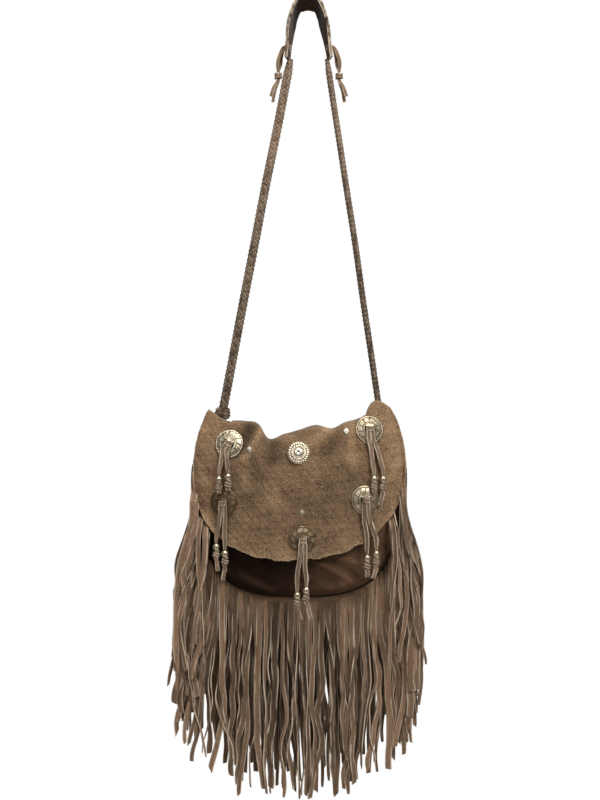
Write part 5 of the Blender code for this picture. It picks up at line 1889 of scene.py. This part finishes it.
@dataclass(frozen=True)
class Hardware:
    """Everything that is fixed to the flap: conchos with laces and beads, the rosette and the studs."""

    pouch: Pouch
    concho: Concho = Concho()
    bead: Bead = Bead()
    rosette: Rosette = Rosette()
    stud: Stud = Stud()
    lace_wide: float = 4.4 * MM
    lace_thick: float = 1.8 * MM
    lace_out: float = 7.2 * MM
    slot_open: float = 1.3 * MM
    bridge_wide: float = 5.0 * MM
    bridge_thick: float = 1.2 * MM
    bridge_start: float = 2.2
    knot_long: float = 6.2 * MM
    knot_turns: float = 1.9
    knot_out: Pair = (3.0 * MM, 2.2 * MM)
    knot_rows: int = 13
    knot_share: float = 0.80
    tail_lean: float = 0.28
    swing: float = 0.7 * MM
    swing_wave: float = 7.0 * MM
    twist: float = 0.5
    cup: float = 0.04
    rows: int = 210
    rosette_at: Pair = (-0.4, -502.5)
    # The last number of each stud adds to its tarnish share as painted shade and painted reflection: the
    # right stud is lifted to full pale colour, the left and low ones darkened
    studs: tuple = (("stud_left", -52.0, -498.5, 0.45), ("stud_right", 51.0, -479.5, -0.5),
                    ("stud_low", 3.2, -566.0, 0.7))

    def strand(self, frame: tuple, start: float, bead: tuple, draw: np.random.Generator) -> Shape:
        """One hanging strand.

        It comes out from under the lace that bridges the two slots and down the dome, hangs in
        front of the flap, narrows through its bead, winds once round itself in a knot and ends in
        a short tail.

        Args:
            frame: the concho's point and directions.
            start: place of the strand along the bridge, from the concho's middle.
            bead: across and height of the bead's middle, and length of the tail, in millimetres.
            draw: random numbers for the small differences between strands.

        Returns:
            The strand as a shape.
        """
        p = self.pouch
        point, right, up, outward = frame
        top = self.concho.rise / MM
        rows = [(*(point + right * u * MM + up * v * MM + outward * w * MM), size) for u, v, w, size in (
            (start, 2.0, top + 0.6, 0.9), (start, -1.5, top + 0.9, 0.9),
            (start * 1.05, -4.5, top + 0.9, 1.0), (start * 1.1, -9.0, top + 0.3, 1.0))]
        bead_x, bead_z = bead[0] * MM, bead[1] * MM
        middle_x, middle_y = bead_x + p.middle_x, float(p.flap_y(bead_x, bead_z)) - self.lace_out
        last = np.array(rows[-1][:3])
        half = self.bead.tall / 2
        for share in (0.25, 0.55, 0.85):
            x = last[0] + (middle_x - last[0]) * smooth_step(np.array(share), -0.1, 1.0)
            z = last[2] + (bead_z + half + 3.0 * MM - last[2]) * share
            y = float(p.flap_y(x - p.middle_x, z)) - self.lace_out + 1.2 * MM * math.sin(math.pi * share)
            rows.append((x, y, z, 1.0))
        for drop, size in ((-half - 0.6 * MM, 0.60), (0.0, 0.55), (half + 0.4 * MM, 0.60)):
            rows.append((middle_x, middle_y, bead_z - drop, size))
        turns = np.linspace(0.0, 1.0, self.knot_rows)
        low = bead_z - half - 1.6 * MM
        for share, a in zip(turns, turns * TURN * self.knot_turns + draw.uniform(-0.4, 0.4)):
            swell = 0.6 + 0.4 * math.sin(math.pi * share)
            x, y = self.knot_out[0] * swell * math.sin(a), self.knot_out[1] * swell * math.cos(a)
            rows.append((middle_x + x, middle_y - y, low - share * self.knot_long, self.knot_share))
        tail = max(bead[2] - 7.0, 2.0) * MM
        lean = draw.uniform(-self.tail_lean, self.tail_lean)
        for share in (0.15, 0.6, 1.0):
            rows.append((middle_x + lean * tail * share, middle_y + draw.uniform(-0.5, 0.5) * MM,
                         low - self.knot_long - 2.0 * MM - tail * share, 0.95))
        read = evenly(rows, self.rows)[None]
        centres = read[..., :3].copy()
        height = read[..., 2]
        knotted = smooth_step(low + 1.0 * MM - height, 0.0, 2.0 * MM)
        knotted = knotted * (1 - smooth_step(low - self.knot_long - height, 0.0, 3.0 * MM))
        wide = ACROSS * (1 - knotted[..., None]) + np.array([0.25, 0.0, 1.0]) * knotted[..., None]
        loose = smooth_step(last[2] - height, 4 * MM, 16 * MM) * smooth_step(height - bead_z, 6 * MM, 16 * MM)
        swing = np.sin((last[2] - height) / self.swing_wave + draw.uniform(0, 6))
        centres[..., 0] += self.swing * loose * swing
        sway = self.twist * np.sin(np.linspace(0, 7, self.rows) + draw.uniform(0, 6))
        wide[..., 1] += sway * (1 - knotted[0])
        width = self.lace_wide * read[..., 3]
        return strip_shape(centres, wide, width, self.lace_thick, self.cup, draw.random(1))

    def bridge(self, frame: tuple) -> Shape:
        """The lace between a concho's two slots: up through one, across the dome and down the other."""
        point, right, up, outward = frame
        reach = (self.concho.slot_x - self.slot_open) / MM
        top = self.concho.rise / MM
        half = [(reach, 1.6), (reach + 0.2, top - 0.2), (reach - 1.1, top + 2.0)]
        route = [(-x, z) for x, z in half] + [(0.0, top + 2.3)] + half[::-1]
        read = evenly(np.array(route) * MM, 50)
        centres = (point + right * read[:, :1] + outward * read[:, 1:])[None]
        wide = np.broadcast_to(up, centres.shape)
        return strip_shape(centres, wide, self.bridge_wide, self.bridge_thick, 0.08, 0.6)

    def fix(self, name: str, shape: Shape, finishes: Finishes, finish, *nodes: str) -> bpy.types.Object:
        """Build a piece that moves with the flap, in place of some nodes."""
        thing = build(name, shape, finishes.get(finish), 45)
        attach(thing, Body.FLAP.value)
        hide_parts(*nodes)
        return thing

    def make(self, finishes: Finishes) -> list[bpy.types.Object]:
        """Build every piece on the flap."""
        made = []
        plate, bead = self.concho.shape(), self.bead.shape()
        for number, lacing in enumerate(LACINGS):
            draw = np.random.default_rng(SEED + 50 + number)
            frame = self.pouch.flap_frame(lacing.at[0] * MM, lacing.at[1] * MM, lacing.turn)
            disc = placed(plate, *frame)
            # Painted shade and painted reflection: the lacing's dull raises the whole concho's tarnish share
            disc.values = {"cavity": plate.values["cavity"] + lacing.dull}
            made.append(self.fix("silver_" + lacing.name, disc, finishes, NICKEL, "concho_" + lacing.name))
            strands = [self.bridge(frame)]
            for start, hang in zip((-self.bridge_start, self.bridge_start), lacing.strands):
                strands.append(self.strand(frame, start, hang, draw))
            made.append(self.fix("thong_" + lacing.name, Shape.joined(strands), finishes, LACE,
                                 "lace_" + lacing.name))
            for letter, (x, z, _) in zip("ab", lacing.strands):
                y = float(self.pouch.flap_y(x * MM, z * MM)) - self.lace_out
                point = np.array([x * MM + self.pouch.middle_x, y, z * MM])
                shape = placed(bead, point, *np.eye(3))
                made.append(self.fix(f"barrel_{lacing.name}_{letter}", shape, finishes, NICKEL,
                                     f"bead_{lacing.name}_{letter}"))
        frame = self.pouch.flap_frame(self.rosette_at[0] * MM, self.rosette_at[1] * MM)
        made.append(self.fix("rosette_silver", placed(self.rosette.shape(), *frame), finishes, ROSETTE_METAL,
                             "rosette"))
        for name, x, z, dull in self.studs:
            stud = placed(self.stud.shape(), *self.pouch.flap_frame(x * MM, z * MM))
            stud.values["cavity"] = np.full(len(stud.verts), dull)
            made.append(self.fix(name + "_silver", stud, finishes, STUD_METAL, name))
        return made


# Stage


@dataclass(frozen=True)
class Studio:
    """A plain pale floor, soft light from above and in front, and white behind."""

    scale: float = 1.1 * MM
    far: float = 1.25
    picture: tuple[int, int] = (600, 800)
    aim: tuple[float, float, float] = (-0.0088, 0.0, -0.4455)
    floor_z: float = -1.30
    floor_radius: float = 1.0
    floor_steps: int = 96
    floor_colour: tuple[float, ...] = (0.86, 0.86, 0.86, 1.0)
    floor_roughness: float = 0.9
    sky: tuple[float, ...] = (1.0, 0.95, 0.88, 1.0)
    sky_strength: float = 0.18
    sensor: float = 36.0
    lamps: tuple = (("key", (0.95, -1.30, 0.85), 0.7, 31.0), ("spark", (-0.9, -1.5, 0.35), 0.35, 7.0),
                    ("top", (0.0, -0.45, 1.0), 0.7, 12.0), ("back", (0.2, 1.8, 0.4), 1.2, 16.0))

    def camera(self) -> None:
        """Look straight along +Y from the distance that gives the photograph's scale."""
        data = bpy.data.cameras.new("camera")
        tall = self.picture[1] * self.scale
        data.sensor_width = self.sensor
        data.lens = data.sensor_width * self.far / tall
        camera = bpy.data.objects.new("camera", data)
        camera.location = (self.aim[0], self.aim[1] - self.far, self.aim[2])
        camera.rotation_euler = (math.pi / 2, 0.0, 0.0)
        bpy.context.scene.collection.objects.link(camera)
        bpy.context.scene.camera = camera

    def lamp(self, name: str, place: Sequence[float], size: float, power: float) -> None:
        """Add a square area lamp that faces the bag.

        Args:
            name: name of the lamp.
            place: where it hangs.
            size: length of its sides.
            power: its power in watts.
        """
        data = bpy.data.lights.new(name, "AREA")
        data.size = size
        data.energy = power
        thing = bpy.data.objects.new(name, data)
        thing.location = place
        away = np.array(place) - np.array(self.aim)
        flat = math.hypot(away[0], away[1])
        thing.rotation_euler = (math.atan2(flat, away[2]), 0.0, math.atan2(away[0], -away[1]))
        bpy.context.scene.collection.objects.link(thing)

    def world(self) -> None:
        """Make the background: white to the camera, and otherwise a faint warm light."""
        world = bpy.data.worlds.new("world")
        bpy.context.scene.world = world
        world.use_nodes = True
        tree = Tree(world.node_tree)
        world.node_tree.nodes.clear()
        light = tree.node("ShaderNodeBackground", {"Color": self.sky, "Strength": self.sky_strength})
        white = tree.node("ShaderNodeBackground", {"Color": (1.0,) * 4, "Strength": 1.0})
        seen = tree.node("ShaderNodeLightPath").outputs["Is Camera Ray"]
        both = tree.node("ShaderNodeMixShader", {0: seen, 1: light.outputs[0], 2: white.outputs[0]})
        tree.node("ShaderNodeOutputWorld", {"Surface": both.outputs[0]})

    def floor(self) -> None:
        """Make the round floor, well below the fringe."""
        verts = round_grid(self.floor_radius, angles(self.floor_steps), self.floor_z)
        mesh = bpy.data.meshes.new("floor")
        mesh.from_pydata(verts.tolist(), [], [list(range(self.floor_steps))])
        material = bpy.data.materials.new("floor")
        material.use_nodes = True
        shader = material.node_tree.nodes["Principled BSDF"]
        Tree(material.node_tree).fill(shader, {"Base Color": self.floor_colour,
                                               "Roughness": self.floor_roughness})
        mesh.materials.append(material)
        thing = bpy.data.objects.new("floor", mesh)
        bpy.context.scene.collection.objects.link(thing)

    def make(self) -> None:
        """Set up camera, lamps, world, floor and the plain view transform."""
        self.camera()
        self.world()
        self.floor()
        for lamp in self.lamps:
            self.lamp(*lamp)
        bpy.context.scene.view_settings.view_transform = "Standard"


def plain_nodes(frame: dict, finishes: Finishes) -> None:
    """Give the CAD nodes that stay in view a procedural finish too."""
    slots = {part["node"]: part["material_slot"] for part in frame["record"]["subparts"]}
    known = {finish.slot: finish for finish in (SUEDE, SHADOWED_SUEDE, FRINGE_SUEDE, LACE, NICKEL)}
    for name, node in frame["nodes"].items():
        if not node.hide_render:
            node.data.materials.clear()
            node.data.materials.append(finishes.get(known[slots[name]]))
            LOG.info("CAD node kept in view: %s", name)


def main() -> None:
    """Load the frame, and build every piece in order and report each."""
    logging.basicConfig(level=logging.INFO, format="%(message)s", stream=sys.stdout)
    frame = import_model()
    pouch = Pouch()
    finishes = Finishes()
    # The rear comb's dim darkens it as painted shade behind the front comb
    rear = {"pitch": 5.6 * MM, "side_pitch": 6.6 * MM, "calm": 0.9, "share": 1.2, "narrow": 0.0, "layers": 2,
            "steps": 36, "dim": 0.2, "spread": 1.2 * MM, "lap": 0.4 * MM, "uneven": 54.0 * MM,
            "settle": 60.0 * MM, "seed": 3}
    builders = (
        Leather(pouch),
        FrontPanel(pouch),
        Comb(pouch, "fringe_behind", "fringe_under", 0.3 * MM, 1, **rear),
        Comb(pouch, "fringe_before", "fringe_front", -0.8 * MM, -1, fold_in=26.0 * MM),
        Pad(),
        Braid(pouch, -1, "strap_left", "strap_braid_left", (-19.4 * MM, 2.0 * MM, -70.6 * MM),
              (-93.8 * MM, 2.0 * MM, -457.0 * MM), 9.8 * MM, 7.0 * MM),
        Braid(pouch, 1, "strap_right", "strap_braid_right", (21.0 * MM, 2.0 * MM, -70.6 * MM),
              (78.5 * MM, 2.0 * MM, -456.0 * MM), 7.2 * MM, 9.4 * MM),
        Tie(-1, "left", (-21.0 * MM, -70.0 * MM)),
        Tie(1, "right", (22.6 * MM, -70.0 * MM)),
        Hardware(pouch),
    )
    for builder in builders:
        for thing in builder.make(finishes):
            LOG.info("%s: %d faces", thing.name, len(thing.data.polygons))
    plain_nodes(frame, finishes)
    Studio().make()


if __name__ == "__main__":
    main()
